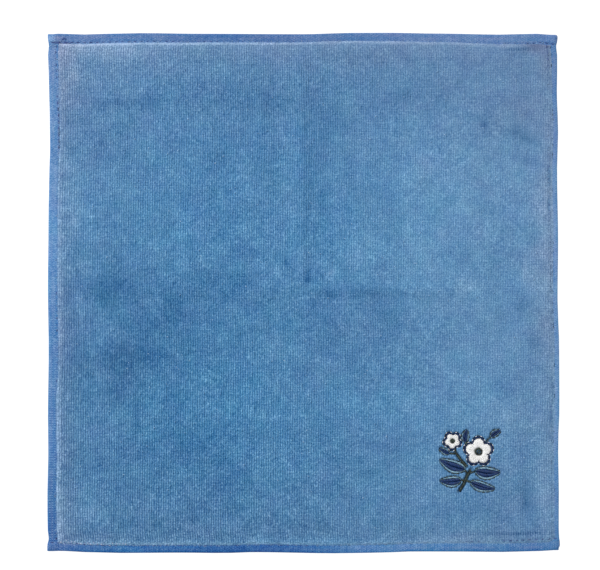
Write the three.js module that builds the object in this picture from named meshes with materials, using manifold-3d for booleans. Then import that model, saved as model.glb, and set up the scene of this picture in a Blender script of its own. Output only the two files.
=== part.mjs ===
// A square hand towel of sheared cotton terry, laid face up on a table.
// Origin at the middle of the underside, +X to the right hem, +Y to the far hem,
// +Z up out of the pile. Sizes are in millimetres.

import * as THREE from 'three';
import { mergeVertices } from 'three/addons/utils/BufferGeometryUtils.js';
import Module from 'manifold-3d';

const wasm = await Module();
wasm.setup();

// Cloth
const WIDTH = 250;
const LENGTH = 254.4;
const PILE_TOP = 2.7;
const FOLD_LOW = 0.45;
const FOLD_TUCK = 0.4;
const LAP_RISE = 0.4;
const CORNER_ROUND = 1.1;
const MAX_GAP = 9.5;

// Height over the table, from the folded edge of a hem inwards: the fold, the
// flat-woven band, the valley of the seam, the pile that stands up beside it
const WIDE_HEM = [
  { inside: 0, height: 1.15 },
  { inside: 0.5, height: 1.75 },
  { inside: 1.4, height: 1.95 },
  { inside: 3.2, height: 1.9 },
  { inside: 4.1, height: 1.35 },
  { inside: 4.9, height: 2.45 },
  { inside: 6.2, height: 2.9 },
  { inside: 9.5, height: PILE_TOP },
];

// The right hem is narrower, and its seam runs in the pile
const NARROW_HEM = [
  { inside: 0, height: 1.15 },
  { inside: 0.5, height: 1.75 },
  { inside: 1.3, height: 1.95 },
  { inside: 2.6, height: 1.85 },
  { inside: 3.5, height: 2.35 },
  { inside: 4.7, height: 1.6 },
  { inside: 5.8, height: 2.6 },
  { inside: 7.0, height: 2.85 },
  { inside: 10, height: PILE_TOP },
];
const HEM_BAND = 3.2;
const LAP_END = 4.1;
const ROUNDED = 1.4;

// How far each edge strays outwards from the straight, by place along it. The end
// hems stand out past the side hems as a small tab at each corner.
const LEFT_EDGE = [
  { at: -125.1, out: 0.64 },
  { at: -121.2, out: -0.15 },
  { at: -116.3, out: 0.49 },
  { at: -101.6, out: 0.54 },
  { at: -77, out: 0.1 },
  { at: -62.3, out: 0.29 },
  { at: -27.9, out: -0.1 },
  { at: 1.5, out: 0.29 },
  { at: 35.9, out: 0 },
  { at: 55.5, out: -0.29 },
  { at: 70.2, out: -0.79 },
  { at: 85, out: -0.64 },
  { at: 99.7, out: -0.34 },
  { at: 109.5, out: -0.1 },
  { at: 118.4, out: 0.25 },
  { at: 121.8, out: -0.2 },
  { at: 126.2, out: 0.39 },
];
const RIGHT_EDGE = [
  { at: -125.1, out: 0.83 },
  { at: -121.2, out: 0.4 },
  { at: -116.3, out: 0.25 },
  { at: -101.6, out: 0.34 },
  { at: -77, out: 0 },
  { at: -57.4, out: 0.59 },
  { at: -27.9, out: 0.49 },
  { at: -3.4, out: -0.29 },
  { at: 26.1, out: -0.05 },
  { at: 60.4, out: -0.54 },
  { at: 80.1, out: -0.05 },
  { at: 99.7, out: -0.64 },
  { at: 116.4, out: -0.44 },
  { at: 121.9, out: -0.98 },
  { at: 125.7, out: -0.3 },
];
const NEAR_EDGE = [
  { at: -124.4, out: -0.49 },
  { at: -117.5, out: -0.69 },
  { at: -107.7, out: -0.1 },
  { at: -88, out: 0.34 },
  { at: -58.6, out: 0.2 },
  { at: -39, out: 0.39 },
  { at: -24.2, out: -0.05 },
  { at: 15, out: 0.49 },
  { at: 34.7, out: 0.25 },
  { at: 54.3, out: -0.39 },
  { at: 74, out: -0.34 },
  { at: 98.5, out: -0.15 },
  { at: 113.2, out: -0.59 },
  { at: 126, out: -1.18 },
];
const FAR_EDGE = [
  { at: -125.3, out: -0.54 },
  { at: -119.4, out: 0 },
  { at: -107.7, out: -0.39 },
  { at: -97.9, out: -0.1 },
  { at: -78.2, out: 0.29 },
  { at: -48.8, out: -0.05 },
  { at: 0.3, out: -0.25 },
  { at: 24.9, out: 0.39 },
  { at: 44.5, out: 0.44 },
  { at: 64.1, out: 0.1 },
  { at: 98.5, out: -0.44 },
  { at: 113.2, out: 0 },
  { at: 123.5, out: -0.54 },
];

// Soft ridges left by folding: from, to, how high, and how far they spread
const CREASES = [
  { x1: -0.9, y1: 114, x2: -0.4, y2: 6, rise: 0.5, spread: 3.2 },
  { x1: 0.6, y1: -52, x2: 0.6, y2: -82, rise: 0.25, spread: 3.2 },
  { x1: 3.5, y1: 2, x2: 72, y2: 1, rise: 0.45, spread: 3 },
  { x1: -104, y1: 2, x2: -16, y2: 1, rise: 0.35, spread: 3.6 },
  { x1: 1, y1: 10, x2: 14, y2: 0, rise: 0.35, spread: 3 },
  { x1: -107, y1: 95, x2: -9, y2: 93, rise: 0.2, spread: 4 },
  { x1: -20, y1: 95, x2: -20, y2: 46, rise: 0.2, spread: 4 },
  { x1: -46, y1: 95, x2: -46, y2: 50, rise: 0.18, spread: 4 },
  { x1: 87, y1: 86, x2: 116, y2: 72, rise: 0.25, spread: 3.5 },
];
const CREASE_STEPS = [-6, -2.6, 0, 2.6, 6];
const CREASE_COLUMNS = [0, -20];
const CREASE_ROWS = [1.5, 94];

// Long low waves over the whole field: how high, how long each way, and where they start
const WAVES = [
  { rise: 0.09, alongX: 118, alongY: 143, start: 0.6 },
  { rise: 0.07, alongX: -74, alongY: 96, start: 2.1 },
  { rise: 0.05, alongX: 47, alongY: -61, start: 4.0 },
];

// Embroidery at the near right, sunk in pile that its stitches hold down. Places are
// from the middle of the spray.
const SPRAY = { x: 81.8, y: -82.2 };
const POCKET_FLOOR = 1.7;
const PATCH_GAP = 0.35;
const PATCH_LOW = POCKET_FLOOR + PATCH_GAP;
const PATCH_TOP = 2.95;
const BEVEL = 0.3;
const STEM_WIDTH = 1.4;
const LEAF_TIP = 0.45;
const OUTLINE = 0.7;
const PETALS = 5;
const PETAL_DEPTH = 0.34;
const CENTRE_SHARE = 0.27;
const LEAVES = [
  { x1: -2.2, y1: -4.4, x2: -14.8, y2: 0.4, width: 6.2, bow: 0.8 },
  { x1: 2.4, y1: -5.2, x2: 14.8, y2: -5.8, width: 6.2, bow: -0.8 },
  { x1: -4.2, y1: -9.6, x2: -14.6, y2: -10, width: 5.4, bow: 0.7 },
  { x1: 0.2, y1: -10.6, x2: 12.2, y2: -14, width: 5, bow: -0.7 },
  { x1: -2.5, y1: 8.8, x2: -1.6, y2: 15, width: 3.8, bow: 0.3 },
  { x1: 10.2, y1: 11.6, x2: 14.9, y2: 14.8, width: 3.4, bow: 0.3 },
  { x1: -9.9, y1: 3.5, x2: -14.9, y2: 6, width: 3, bow: 0.3 },
];
const BLOSSOMS = [
  { name: 'blossom_large', x: 4.2, y: 4.4, radius: 6.8, turn: 18 },
  { name: 'blossom_small', x: -8.6, y: 9.6, radius: 4, turn: 50 },
];
const STEMS = [
  { name: 'stem', points: [[-5.2, -15], [-3, -11.5], [-1.4, -7.6], [0.6, -4.4]] },
  { name: 'branch', points: [[-1.6, -2.8], [-4.4, 0.2], [-6.8, 3.6]] },
];

const BLUE_PILE = new THREE.MeshStandardMaterial({ color: 0x5783ae, roughness: 0.95 });
const NAVY_THREAD = new THREE.MeshStandardMaterial({ color: 0x1b2c60, roughness: 0.45 });
const CREAM_THREAD = new THREE.MeshStandardMaterial({ color: 0xf2efe6, roughness: 0.45 });
const OLIVE_THREAD = new THREE.MeshStandardMaterial({ color: 0x3c4a36, roughness: 0.5 });

function smooth(low, high, value) {
  return THREE.MathUtils.smoothstep(value, low, high);
}

// Reads a table at a place, with a straight or a soft run between its rows
function lookUp(table, key, value, place, soft) {
  if (place <= table[0][key]) return table[0][value];
  for (let i = 1; i < table.length; i += 1) {
    const from = table[i - 1];
    const to = table[i];
    if (place <= to[key]) {
      const share = (place - from[key]) / (to[key] - from[key]);
      const eased = soft ? smooth(0, 1, share) : share;
      return from[value] + (to[value] - from[value]) * eased;
    }
  }
  return table[table.length - 1][value];
}

function hemHeight(table, inside) {
  return lookUp(table, 'inside', 'height', inside, false);
}

function strayOut(edge, at) {
  return lookUp(edge, 'at', 'out', at, true);
}

function distanceToLine(crease, x, y) {
  const from = new THREE.Vector2(crease.x1, crease.y1);
  const run = new THREE.Vector2(crease.x2, crease.y2).sub(from);
  const point = new THREE.Vector2(x, y).sub(from);
  const share = THREE.MathUtils.clamp(point.dot(run) / run.lengthSq(), 0, 1);
  return point.distanceTo(run.multiplyScalar(share));
}

// How far the pile stands over or under its plain height
function relief(x, y) {
  let height = 0;
  for (const wave of WAVES) {
    const phase = 2 * Math.PI * (x / wave.alongX + y / wave.alongY) + wave.start;
    height += wave.rise * Math.sin(phase);
  }
  for (const crease of CREASES) {
    height += crease.rise * Math.exp(-((distanceToLine(crease, x, y) / crease.spread) ** 2));
  }
  return height;
}

// Distances from a point of the unstrayed square to its four edges
function distances(x, y) {
  return {
    left: WIDTH / 2 + x,
    right: WIDTH / 2 - x,
    near: LENGTH / 2 + y,
    far: LENGTH / 2 - y,
  };
}

function topHeight(x, y) {
  const d = distances(x, y);
  const sideTable = d.left < d.right ? WIDE_HEM : NARROW_HEM;
  const side = Math.min(d.left, d.right);
  const end = Math.min(d.near, d.far);
  const lapped = 1 - smooth(HEM_BAND, LAP_END, end);
  const overSide = 1 - smooth(HEM_BAND, LAP_END + 2, side);
  const plainSide = hemHeight(sideTable, side);
  const foldOnly = side < ROUNDED ? plainSide : PILE_TOP;
  const sideHeight = THREE.MathUtils.lerp(plainSide, foldOnly, lapped);
  const low = Math.min(hemHeight(WIDE_HEM, end), sideHeight);
  const onField = smooth(LAP_END, 2 * LAP_END, Math.min(side, end));
  const lap = LAP_RISE * lapped * overSide * smooth(0, ROUNDED, Math.min(side, end));
  return low + lap + relief(x, y) * onField;
}

// Moves a point of the plain square to where the uneven edges and the rounded corners put it
function placed(x, y) {
  const d = distances(x, y);
  const side = Math.min(d.left, d.right);
  const end = Math.min(d.near, d.far);
  let px = x;
  let py = y;
  if (side < CORNER_ROUND && end < CORNER_ROUND) {
    const fromSide = CORNER_ROUND - side;
    const fromEnd = CORNER_ROUND - end;
    const pull = Math.max(fromSide, fromEnd) / Math.hypot(fromSide, fromEnd) - 1;
    px += Math.sign(x) * fromSide * pull;
    py += Math.sign(y) * fromEnd * pull;
  }
  const acrossShare = d.left / WIDTH;
  const alongShare = d.near / LENGTH;
  px += strayOut(RIGHT_EDGE, y) * acrossShare - strayOut(LEFT_EDGE, y) * (1 - acrossShare);
  py += strayOut(FAR_EDGE, x) * alongShare - strayOut(NEAR_EDGE, x) * (1 - alongShare);
  return new THREE.Vector2(px, py);
}

// Grid lines across one direction: each hem's own steps, the creases, and an even fill
function gridLines(size, lowHem, highHem, creases) {
  const lines = [
    ...lowHem.map((row) => row.inside - size / 2),
    ...highHem.map((row) => size / 2 - row.inside),
    ...creases.flatMap((crease) => CREASE_STEPS.map((step) => crease + step)),
  ].sort((a, b) => a - b);
  const filled = [lines[0]];
  for (let i = 1; i < lines.length; i += 1) {
    const gap = lines[i] - lines[i - 1];
    const parts = Math.ceil(gap / MAX_GAP);
    for (let k = 1; k <= parts; k += 1) {
      filled.push(lines[i - 1] + (gap * k) / parts);
    }
  }
  return filled;
}

// The cloth: a grid for the pile face, a folded rim, and a flat underside
function clothGeometry() {
  const xs = gridLines(WIDTH, WIDE_HEM, NARROW_HEM, CREASE_COLUMNS);
  const ys = gridLines(LENGTH, WIDE_HEM, WIDE_HEM, CREASE_ROWS);
  const points = [];
  const faces = [];
  for (const y of ys) {
    for (const x of xs) {
      const place = placed(x, y);
      points.push(place.x, place.y, topHeight(x, y));
    }
  }
  const at = (column, row) => row * xs.length + column;
  const lastColumn = xs.length - 1;
  const lastRow = ys.length - 1;
  for (let row = 0; row < lastRow; row += 1) {
    for (let column = 0; column < lastColumn; column += 1) {
      const here = at(column, row);
      const beyond = at(column + 1, row + 1);
      faces.push(here, at(column + 1, row), beyond);
      faces.push(here, beyond, at(column, row + 1));
    }
  }
  const rim = [];
  for (let column = 0; column < lastColumn; column += 1) rim.push(at(column, 0));
  for (let row = 0; row < lastRow; row += 1) rim.push(at(lastColumn, row));
  for (let column = lastColumn; column > 0; column -= 1) rim.push(at(column, lastRow));
  for (let row = lastRow; row > 0; row -= 1) rim.push(at(0, row));

  const outline = rim.map((i) => new THREE.Vector2(points[3 * i], points[3 * i + 1]));
  const tucked = outline.map((point) => {
    const shrink = 1 - FOLD_TUCK / (WIDTH / 2);
    return point.clone().multiplyScalar(shrink);
  });
  const rings = [
    { loop: outline, height: FOLD_LOW },
    { loop: tucked, height: 0 },
  ];
  let upper = rim;
  for (const ring of rings) {
    const lower = ring.loop.map((point) => {
      points.push(point.x, point.y, ring.height);
      return points.length / 3 - 1;
    });
    for (let i = 0; i < lower.length; i += 1) {
      const next = (i + 1) % lower.length;
      faces.push(upper[i], lower[i], lower[next], upper[i], lower[next], upper[next]);
    }
    upper = lower;
  }
  for (const [a, b, c] of THREE.ShapeUtils.triangulateShape(tucked, [])) {
    faces.push(upper[a], upper[c], upper[b]);
  }
  return fromArrays(points, faces);
}

function fromArrays(points, faces) {
  const geometry = new THREE.BufferGeometry();
  geometry.setAttribute('position', new THREE.Float32BufferAttribute(points, 3));
  geometry.setIndex(faces);
  geometry.computeVertexNormals();
  return geometry;
}

function toSolid(geometry) {
  const bare = geometry.clone();
  bare.deleteAttribute('normal');
  bare.deleteAttribute('uv');
  const merged = mergeVertices(bare, 1e-4);
  return new wasm.Manifold(new wasm.Mesh({
    numProp: 3,
    vertProperties: new Float32Array(merged.attributes.position.array),
    triVerts: new Uint32Array(merged.index.array),
  }));
}

function toGeometry(solid) {
  const mesh = solid.getMesh();
  return fromArrays(Array.from(mesh.vertProperties), Array.from(mesh.triVerts));
}

// Outline of a leaf, widest near its base, bowed to one side and grown by some margin
function leafOutline(leaf, grow) {
  const steps = 10;
  const from = new THREE.Vector2(leaf.x1, leaf.y1);
  const along = new THREE.Vector2(leaf.x2, leaf.y2).sub(from);
  const length = along.length() + 2 * grow;
  along.normalize();
  from.addScaledVector(along, -grow);
  const across = new THREE.Vector2(-along.y, along.x);
  const outline = [];
  for (const side of [-1, 1]) {
    for (let i = 0; i <= steps; i += 1) {
      const t = side < 0 ? i / steps : 1 - i / steps;
      const swell = Math.max(Math.sin(Math.PI * t ** 0.8), 0) ** 0.85;
      const half = (leaf.width / 2 - LEAF_TIP) * swell + LEAF_TIP + grow;
      const off = leaf.bow * Math.sin(Math.PI * t) + side * half;
      outline.push(from.clone().addScaledVector(along, length * t).addScaledVector(across, off));
    }
  }
  return outline;
}

// Outline of a blossom of round petals
function blossomOutline(blossom, grow) {
  const steps = 10 * PETALS;
  const turn = THREE.MathUtils.degToRad(blossom.turn);
  const outline = [];
  for (let i = 0; i < steps; i += 1) {
    const angle = (2 * Math.PI * i) / steps + turn;
    const petal = Math.abs(Math.cos((PETALS / 2) * (angle - turn))) ** 0.75;
    const reach = blossom.radius * (1 - PETAL_DEPTH * (1 - petal)) + OUTLINE + grow;
    const x = blossom.x + reach * Math.cos(angle);
    const y = blossom.y + reach * Math.sin(angle);
    outline.push(new THREE.Vector2(x, y));
  }
  return outline;
}

// Outline of a stem of even width along a smooth curve
function stemOutline(stem, grow) {
  const steps = 8;
  const middle = new THREE.SplineCurve(stem.points.map(([x, y]) => new THREE.Vector2(x, y)));
  const half = STEM_WIDTH / 2 + grow;
  const sides = [[], []];
  for (let i = 0; i <= steps; i += 1) {
    const point = middle.getPoint(i / steps);
    const along = middle.getTangent(i / steps);
    const across = new THREE.Vector2(-along.y, along.x);
    const end = i === 0 ? -grow : (i === steps ? grow : 0);
    point.addScaledVector(along, end);
    sides[0].push(point.clone().addScaledVector(across, -half));
    sides[1].unshift(point.clone().addScaledVector(across, half));
  }
  return [...sides[0], ...sides[1]];
}

// One raised patch of stitches, with rounded rims
function patchGeometry(outline, hole) {
  const shape = new THREE.Shape(outline);
  if (hole) shape.holes.push(new THREE.Path().absarc(hole.x, hole.y, hole.radius, 0, 2 * Math.PI));
  const geometry = new THREE.ExtrudeGeometry(shape, {
    depth: PATCH_TOP - PATCH_LOW - 2 * BEVEL,
    bevelThickness: BEVEL,
    bevelSize: BEVEL,
    bevelOffset: -BEVEL,
    bevelSegments: 1,
    curveSegments: 8,
  });
  geometry.translate(SPRAY.x, SPRAY.y, PATCH_LOW + BEVEL);
  return geometry;
}

// The pocket that a patch lies in, as a block to be cut out of the pile
function pocketSolid(outline) {
  const geometry = new THREE.ExtrudeGeometry(new THREE.Shape(outline), {
    depth: PILE_TOP,
    bevelEnabled: false,
  });
  geometry.translate(SPRAY.x, SPRAY.y, POCKET_FLOOR);
  return toSolid(geometry);
}

const patches = [
  ...LEAVES.map((leaf, i) => ({
    name: `leaf_${i + 1}`,
    material: NAVY_THREAD,
    outline: (grow) => leafOutline(leaf, grow),
  })),
  ...STEMS.map((stem) => ({
    name: stem.name,
    material: OLIVE_THREAD,
    outline: (grow) => stemOutline(stem, grow),
  })),
  ...BLOSSOMS.map((blossom) => ({
    name: blossom.name,
    material: CREAM_THREAD,
    outline: (grow) => blossomOutline(blossom, grow),
    hole: { x: blossom.x, y: blossom.y, radius: CENTRE_SHARE * blossom.radius + PATCH_GAP },
  })),
];

const group = new THREE.Group();
group.name = 'hand_towel';

let cloth = toSolid(clothGeometry());
for (const patch of patches) {
  cloth = cloth.subtract(pocketSolid(patch.outline(PATCH_GAP)));
  const mesh = new THREE.Mesh(patchGeometry(patch.outline(0), patch.hole), patch.material);
  mesh.name = patch.name;
  group.add(mesh);
}
for (const blossom of BLOSSOMS) {
  const radius = CENTRE_SHARE * blossom.radius;
  const disc = new THREE.Shape().absarc(blossom.x, blossom.y, radius, 0, 2 * Math.PI);
  const mesh = new THREE.Mesh(patchGeometry(disc.getPoints(8)), OLIVE_THREAD);
  mesh.name = blossom.name.replace('blossom', 'centre');
  group.add(mesh);
}

const towel = new THREE.Mesh(toGeometry(cloth), BLUE_PILE);
towel.name = 'towel';
group.add(towel);

// Puts the origin at the middle of the underside
const box = new THREE.Box3().setFromObject(towel);
const middle = box.getCenter(new THREE.Vector3());
group.position.set(-middle.x, -middle.y, -box.min.z);

export default group;
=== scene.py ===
# %% [markdown]
# A square hand towel of blue cotton velour, laid flat and looked at from straight above.
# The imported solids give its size, its outline and the place of each patch of embroidery.
# This script dresses them: ribbed pile, turned hems, sewing, looped back and real threads.
# Everything is worked out in millimetres and turned to metres when a mesh is made.

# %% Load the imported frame
import math

import bmesh
import bpy
import numpy as np
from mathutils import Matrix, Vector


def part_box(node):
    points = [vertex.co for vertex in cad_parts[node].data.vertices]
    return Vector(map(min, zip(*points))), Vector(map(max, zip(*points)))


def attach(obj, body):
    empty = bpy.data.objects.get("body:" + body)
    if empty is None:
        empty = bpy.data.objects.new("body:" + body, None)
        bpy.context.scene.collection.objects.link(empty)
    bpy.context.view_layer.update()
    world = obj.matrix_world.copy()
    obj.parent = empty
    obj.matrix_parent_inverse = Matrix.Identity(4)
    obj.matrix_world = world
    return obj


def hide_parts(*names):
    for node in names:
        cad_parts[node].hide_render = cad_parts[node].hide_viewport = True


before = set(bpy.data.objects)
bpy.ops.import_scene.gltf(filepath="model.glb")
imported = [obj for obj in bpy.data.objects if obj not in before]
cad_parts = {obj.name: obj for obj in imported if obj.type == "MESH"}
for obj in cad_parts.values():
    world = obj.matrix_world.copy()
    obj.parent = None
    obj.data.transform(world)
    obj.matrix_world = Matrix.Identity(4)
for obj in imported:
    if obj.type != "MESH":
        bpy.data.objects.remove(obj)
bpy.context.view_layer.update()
MM = 0.001

# %% [markdown]
# The nominal towel is 250 x 254.4 mm, and its edges stray from that by up to 1 mm. Its pile
# reaches 2.7 mm up, and the fold line round its edge lies 0.45 mm up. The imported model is
# centred on its own box, so the nominal middle lies a little to one side. The middle of the
# large blossom's centre has a known place, so it gives that shift.

# %% Sizes and the nominal middle
WIDTH = 250.0
LENGTH = 254.4
PILE_TOP = 2.7
FOLD_LOW = 0.45
SPRAY = np.array([81.8, -82.2])
LARGE_BLOSSOM = np.array([4.2, 4.4])

low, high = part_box("centre_large")
middle = np.array([(low.x + high.x) / 2, (low.y + high.y) / 2]) / MM
SHIFT = middle - SPRAY - LARGE_BLOSSOM
print("shift of the nominal middle, mm:", np.round(SHIFT, 3))

# %% [markdown]
# The camera comes first. The towel is seen face on, so the camera looks straight down from
# 1.5 m through a long lens, and the sides of the cloth stay out of view. The picture is
# 600 x 570, and 600 pixels take in 294.5 mm at the height of the pile.

# %% Camera
EYE_HEIGHT = 1500.0
PICTURE_WIDTH = 294.5
SENSOR = 36.0
PICTURE_MIDDLE = np.array([-1.645, 3.976])

camera_data = bpy.data.cameras.new("camera")
camera = bpy.data.objects.new("camera", camera_data)
bpy.context.scene.collection.objects.link(camera)
camera_data.sensor_width = SENSOR
camera_data.lens = SENSOR * EYE_HEIGHT / PICTURE_WIDTH
camera_at = PICTURE_MIDDLE + SHIFT
camera.location = (camera_at[0] * MM, camera_at[1] * MM, (EYE_HEIGHT + PILE_TOP) * MM)
bpy.context.scene.camera = camera
print("lens, mm:", round(camera_data.lens, 1))

# %% [markdown]
# Small helpers. Colours are sRGB hex values, and one function turns them to linear. One
# small function adds a node with its settings and links. A mesh is made from arrays of
# points and faces, because a towel is thousands of like tufts that a loop places best.

# %% Helpers for colour, nodes and meshes
SEED = 7
rng = np.random.default_rng(SEED)


def linear(text):
    """A hex colour as linear red, green, blue and alpha."""
    parts = [int(text[i:i + 2], 16) / 255 for i in (1, 3, 5)]
    return [v / 12.92 if v <= 0.04045 else ((v + 0.055) / 1.055) ** 2.4 for v in parts] + [1.0]


def add(tree, kind, settings=None, links=None):
    """Adds a node, sets its own values or its sockets' values, and links its inputs."""
    node = tree.nodes.new(kind)
    for key, value in (settings or {}).items():
        if isinstance(key, str) and hasattr(node, key):
            setattr(node, key, value)
        else:
            node.inputs[key].default_value = value
    for key, output in (links or {}).items():
        tree.links.new(output, node.inputs[key])
    return node


def new_material(name):
    """A material with an empty node tree."""
    material = bpy.data.materials.new(name)
    material.use_nodes = True
    material.node_tree.nodes.clear()
    return material, material.node_tree


def mesh_object(name, points, faces, material, attributes=None, normals=None):
    """A smooth-shaded mesh from points in mm and faces of any size. Where normals are given,
    they set the way its points face, which hides where one surface is cut in strips."""
    mesh = bpy.data.meshes.new(name)
    mesh.from_pydata((np.asarray(points) * MM).tolist(), [], faces)
    mesh.polygons.foreach_set("use_smooth", np.ones(len(mesh.polygons), bool))
    if normals is not None:
        mesh.normals_split_custom_set_from_vertices(np.asarray(normals).tolist())
    for key, values in (attributes or {}).items():
        layer = mesh.attributes.new(key, "FLOAT", "POINT")
        layer.data.foreach_set("value", np.asarray(values, np.float32))
    mesh.materials.append(material)
    made = bpy.data.objects.new(name, mesh)
    bpy.context.scene.collection.objects.link(made)
    triangles = sum(len(p.vertices) - 2 for p in mesh.polygons)
    print(name, "triangles:", triangles)
    return made


def smooth_step(start, end, value):
    """0 before start, 1 after end, with a soft run between."""
    share = np.clip((value - start) / (end - start), 0, 1)
    return share * share * (3 - 2 * share)


# %% [markdown]
# The floor is a pale opal sheet lit from below, as on a light table, so it shows white and
# hardly any shadow is left on it, as in the photo. It is only just white, because a brighter
# one would eat into the towel's edges. The light is a large soft window at the upper left
# with a pale fill all round. Colours are shown as they are, with no film curve.

# %% Floor and light
FLOOR_HALF = 4000.0

floor_material, tree = new_material("opal_light_table")
surface = add(tree, "ShaderNodeBsdfPrincipled", {
    "Base Color": linear("#6a6a69"), "Roughness": 0.9, "Specular IOR Level": 0.1,
    "Emission Color": linear("#ffffff"), "Emission Strength": 0.98,
})
add(tree, "ShaderNodeOutputMaterial", links={"Surface": surface.outputs[0]})
corners = [(-FLOOR_HALF, -FLOOR_HALF, 0), (FLOOR_HALF, -FLOOR_HALF, 0),
           (FLOOR_HALF, FLOOR_HALF, 0), (-FLOOR_HALF, FLOOR_HALF, 0)]
floor = mesh_object("light_table", corners, [(0, 1, 2, 3)], floor_material)

WINDOW_AT = np.array([-1050.0, 1050.0, 1250.0])
WINDOW_SIDE = 900.0
WINDOW_WATTS = 27.0
window_data = bpy.data.lights.new("soft_window", "AREA")
window_data.shape = "DISK"
window_data.size = WINDOW_SIDE * MM
window_data.energy = WINDOW_WATTS
window = bpy.data.objects.new("soft_window", window_data)
bpy.context.scene.collection.objects.link(window)
window.location = WINDOW_AT * MM
window.rotation_euler = (-window.location).to_track_quat("-Z", "Y").to_euler()

FILL = 0.6
world = bpy.data.worlds.new("pale_fill")
world.use_nodes = True
world.node_tree.nodes["Background"].inputs["Color"].default_value = linear("#fbfcff")
world.node_tree.nodes["Background"].inputs["Strength"].default_value = FILL
bpy.context.scene.world = world
bpy.context.scene.view_settings.view_transform = "Standard"
print("window at, mm:", WINDOW_AT)

# %% [markdown]
# The outline is read from the imported towel: its fold line is the ring of points 0.45 mm up.
# Each side gives how far the edge strays out or in along its length, and the cloth, the pile,
# the back, the hem stitches and the fibres beside the seams are bent by the same strays, so that
# the ribs follow the uneven edges as in real cloth.

# %% Edge strays from the imported outline
RING_TOLERANCE = 0.03
CORNER_SKIP = 1.2
EDGE_REACH = 1.7
CORNER_ROUND = 1.1
CORNER_SHARP = 0.4
EDGES = [
    # axis across the edge, its side on that axis, and how far the fuzz of its fold stands out,
    # for the left, right, near and far edge: every table by edge keeps this order
    (0, -1, 0.24),
    (0, 1, 0.24),
    (1, -1, 0.16),
    (1, 1, 0.28),
]

cad_points = np.array([v.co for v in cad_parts["towel"].data.vertices]) / MM
ring = cad_points[np.abs(cad_points[:, 2] - FOLD_LOW) < RING_TOLERANCE][:, :2] - SHIFT
ring = np.unique(np.round(ring, 3), axis=0)


def strays(axis, side, fuzz):
    """Place along one edge and how far the edge strays outward there."""
    half = (WIDTH, LENGTH)[axis] / 2
    along_half = (WIDTH, LENGTH)[1 - axis] / 2
    out = side * ring[:, axis] - half
    along = ring[:, 1 - axis]
    chosen = (np.abs(out) < EDGE_REACH) & (np.abs(along) < along_half - CORNER_SKIP)
    order = np.argsort(along[chosen])
    return along[chosen][order], out[chosen][order] + fuzz


STRAYS = [strays(*edge) for edge in EDGES]
print("points on each edge:", [len(along) for along, _ in STRAYS])


def distances(x, y):
    """How far a point of the plain square lies inside its left, right, near and far edges."""
    return WIDTH / 2 + x, WIDTH / 2 - x, LENGTH / 2 + y, LENGTH / 2 - y


def placed(x, y):
    """Where the uneven edges and the corners, of which the far right one is the roundest,
    put a point of the plain square."""
    left, right, near, far = distances(x, y)
    radius = np.where((x > 0) & (y > 0), CORNER_ROUND, CORNER_SHARP)
    from_side = np.clip(radius - np.minimum(left, right), 0, None)
    from_end = np.clip(radius - np.minimum(near, far), 0, None)
    both = (from_side > 0) & (from_end > 0)
    reach = np.where(both, np.hypot(from_side, from_end), 1)
    pull = np.where(both, np.maximum(from_side, from_end) / reach - 1, 0)
    out_left, out_right = (np.interp(y, *stray) for stray in STRAYS[:2])
    out_near, out_far = (np.interp(x, *stray) for stray in STRAYS[2:])
    across = left / WIDTH
    along = near / LENGTH
    px = x + np.sign(x) * from_side * pull + out_right * across - out_left * (1 - across)
    py = y + np.sign(y) * from_end * pull + out_far * along - out_near * (1 - along)
    return px + SHIFT[0], py + SHIFT[1]


# %% [markdown]
# The towel was folded in four, so a soft ridge runs down its middle and another across, with
# fainter ones where it was pressed. The creases and the long low waves repeat the solid's,
# and finer puckers join them near the hems, where the sewing draws the cloth in.

# %% Creases, waves and puckers
CREASES = [
    # x1, y1, x2, y2, rise, spread
    (-0.9, 114, -0.4, 6, 0.5, 3.2),
    (0.6, -52, 0.6, -82, 0.25, 3.2),
    (3.5, 2, 72, 1, 0.45, 3.0),
    (-104, 2, -16, 1, 0.35, 3.6),
    (1, 10, 14, 0, 0.35, 3.0),
    (-107, 95, -9, 93, 0.2, 4.0),
    (-20, 95, -20, 46, 0.2, 4.0),
    (-46, 95, -46, 50, 0.18, 4.0),
    (87, 86, 116, 72, 0.25, 3.5),
    (3, 18, 2, 5, -0.1, 2.6),
    (6, -8, 10, -26, -0.2, 3.5),
    (36, -6, 46, -16, -0.2, 3.0),
    (104, 117, 116, 118, -0.3, 1.8),
    (99, 80, 112, 74, -0.2, 2.5),
    (109, -88, 109, -112, -0.3, 2.2),
    (-4, -70, -4, -82, -0.18, 1.2),
    (120.6, 61, 120.6, 54, -0.25, 0.9),
    (120.6, 46, 120.6, 40, -0.25, 0.9),
]
WAVES = [
    # rise, length along x, length along y, start
    (0.09, 118, 143, 0.6),
    (0.07, -74, 96, 2.1),
    (0.05, 47, -61, 4.0),
]
PUCKERS = [
    # rise, pitch along the hem, how far in it dies out
    (0.09, 9.5, 5.0),
    (0.07, 17.0, 9.0),
]


def segment_distance(x, y, x1, y1, x2, y2):
    """Distance from points to a straight segment."""
    run_x, run_y = x2 - x1, y2 - y1
    share = ((x - x1) * run_x + (y - y1) * run_y) / (run_x ** 2 + run_y ** 2)
    share = np.clip(share, 0, 1)
    return np.hypot(x - x1 - share * run_x, y - y1 - share * run_y)


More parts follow.
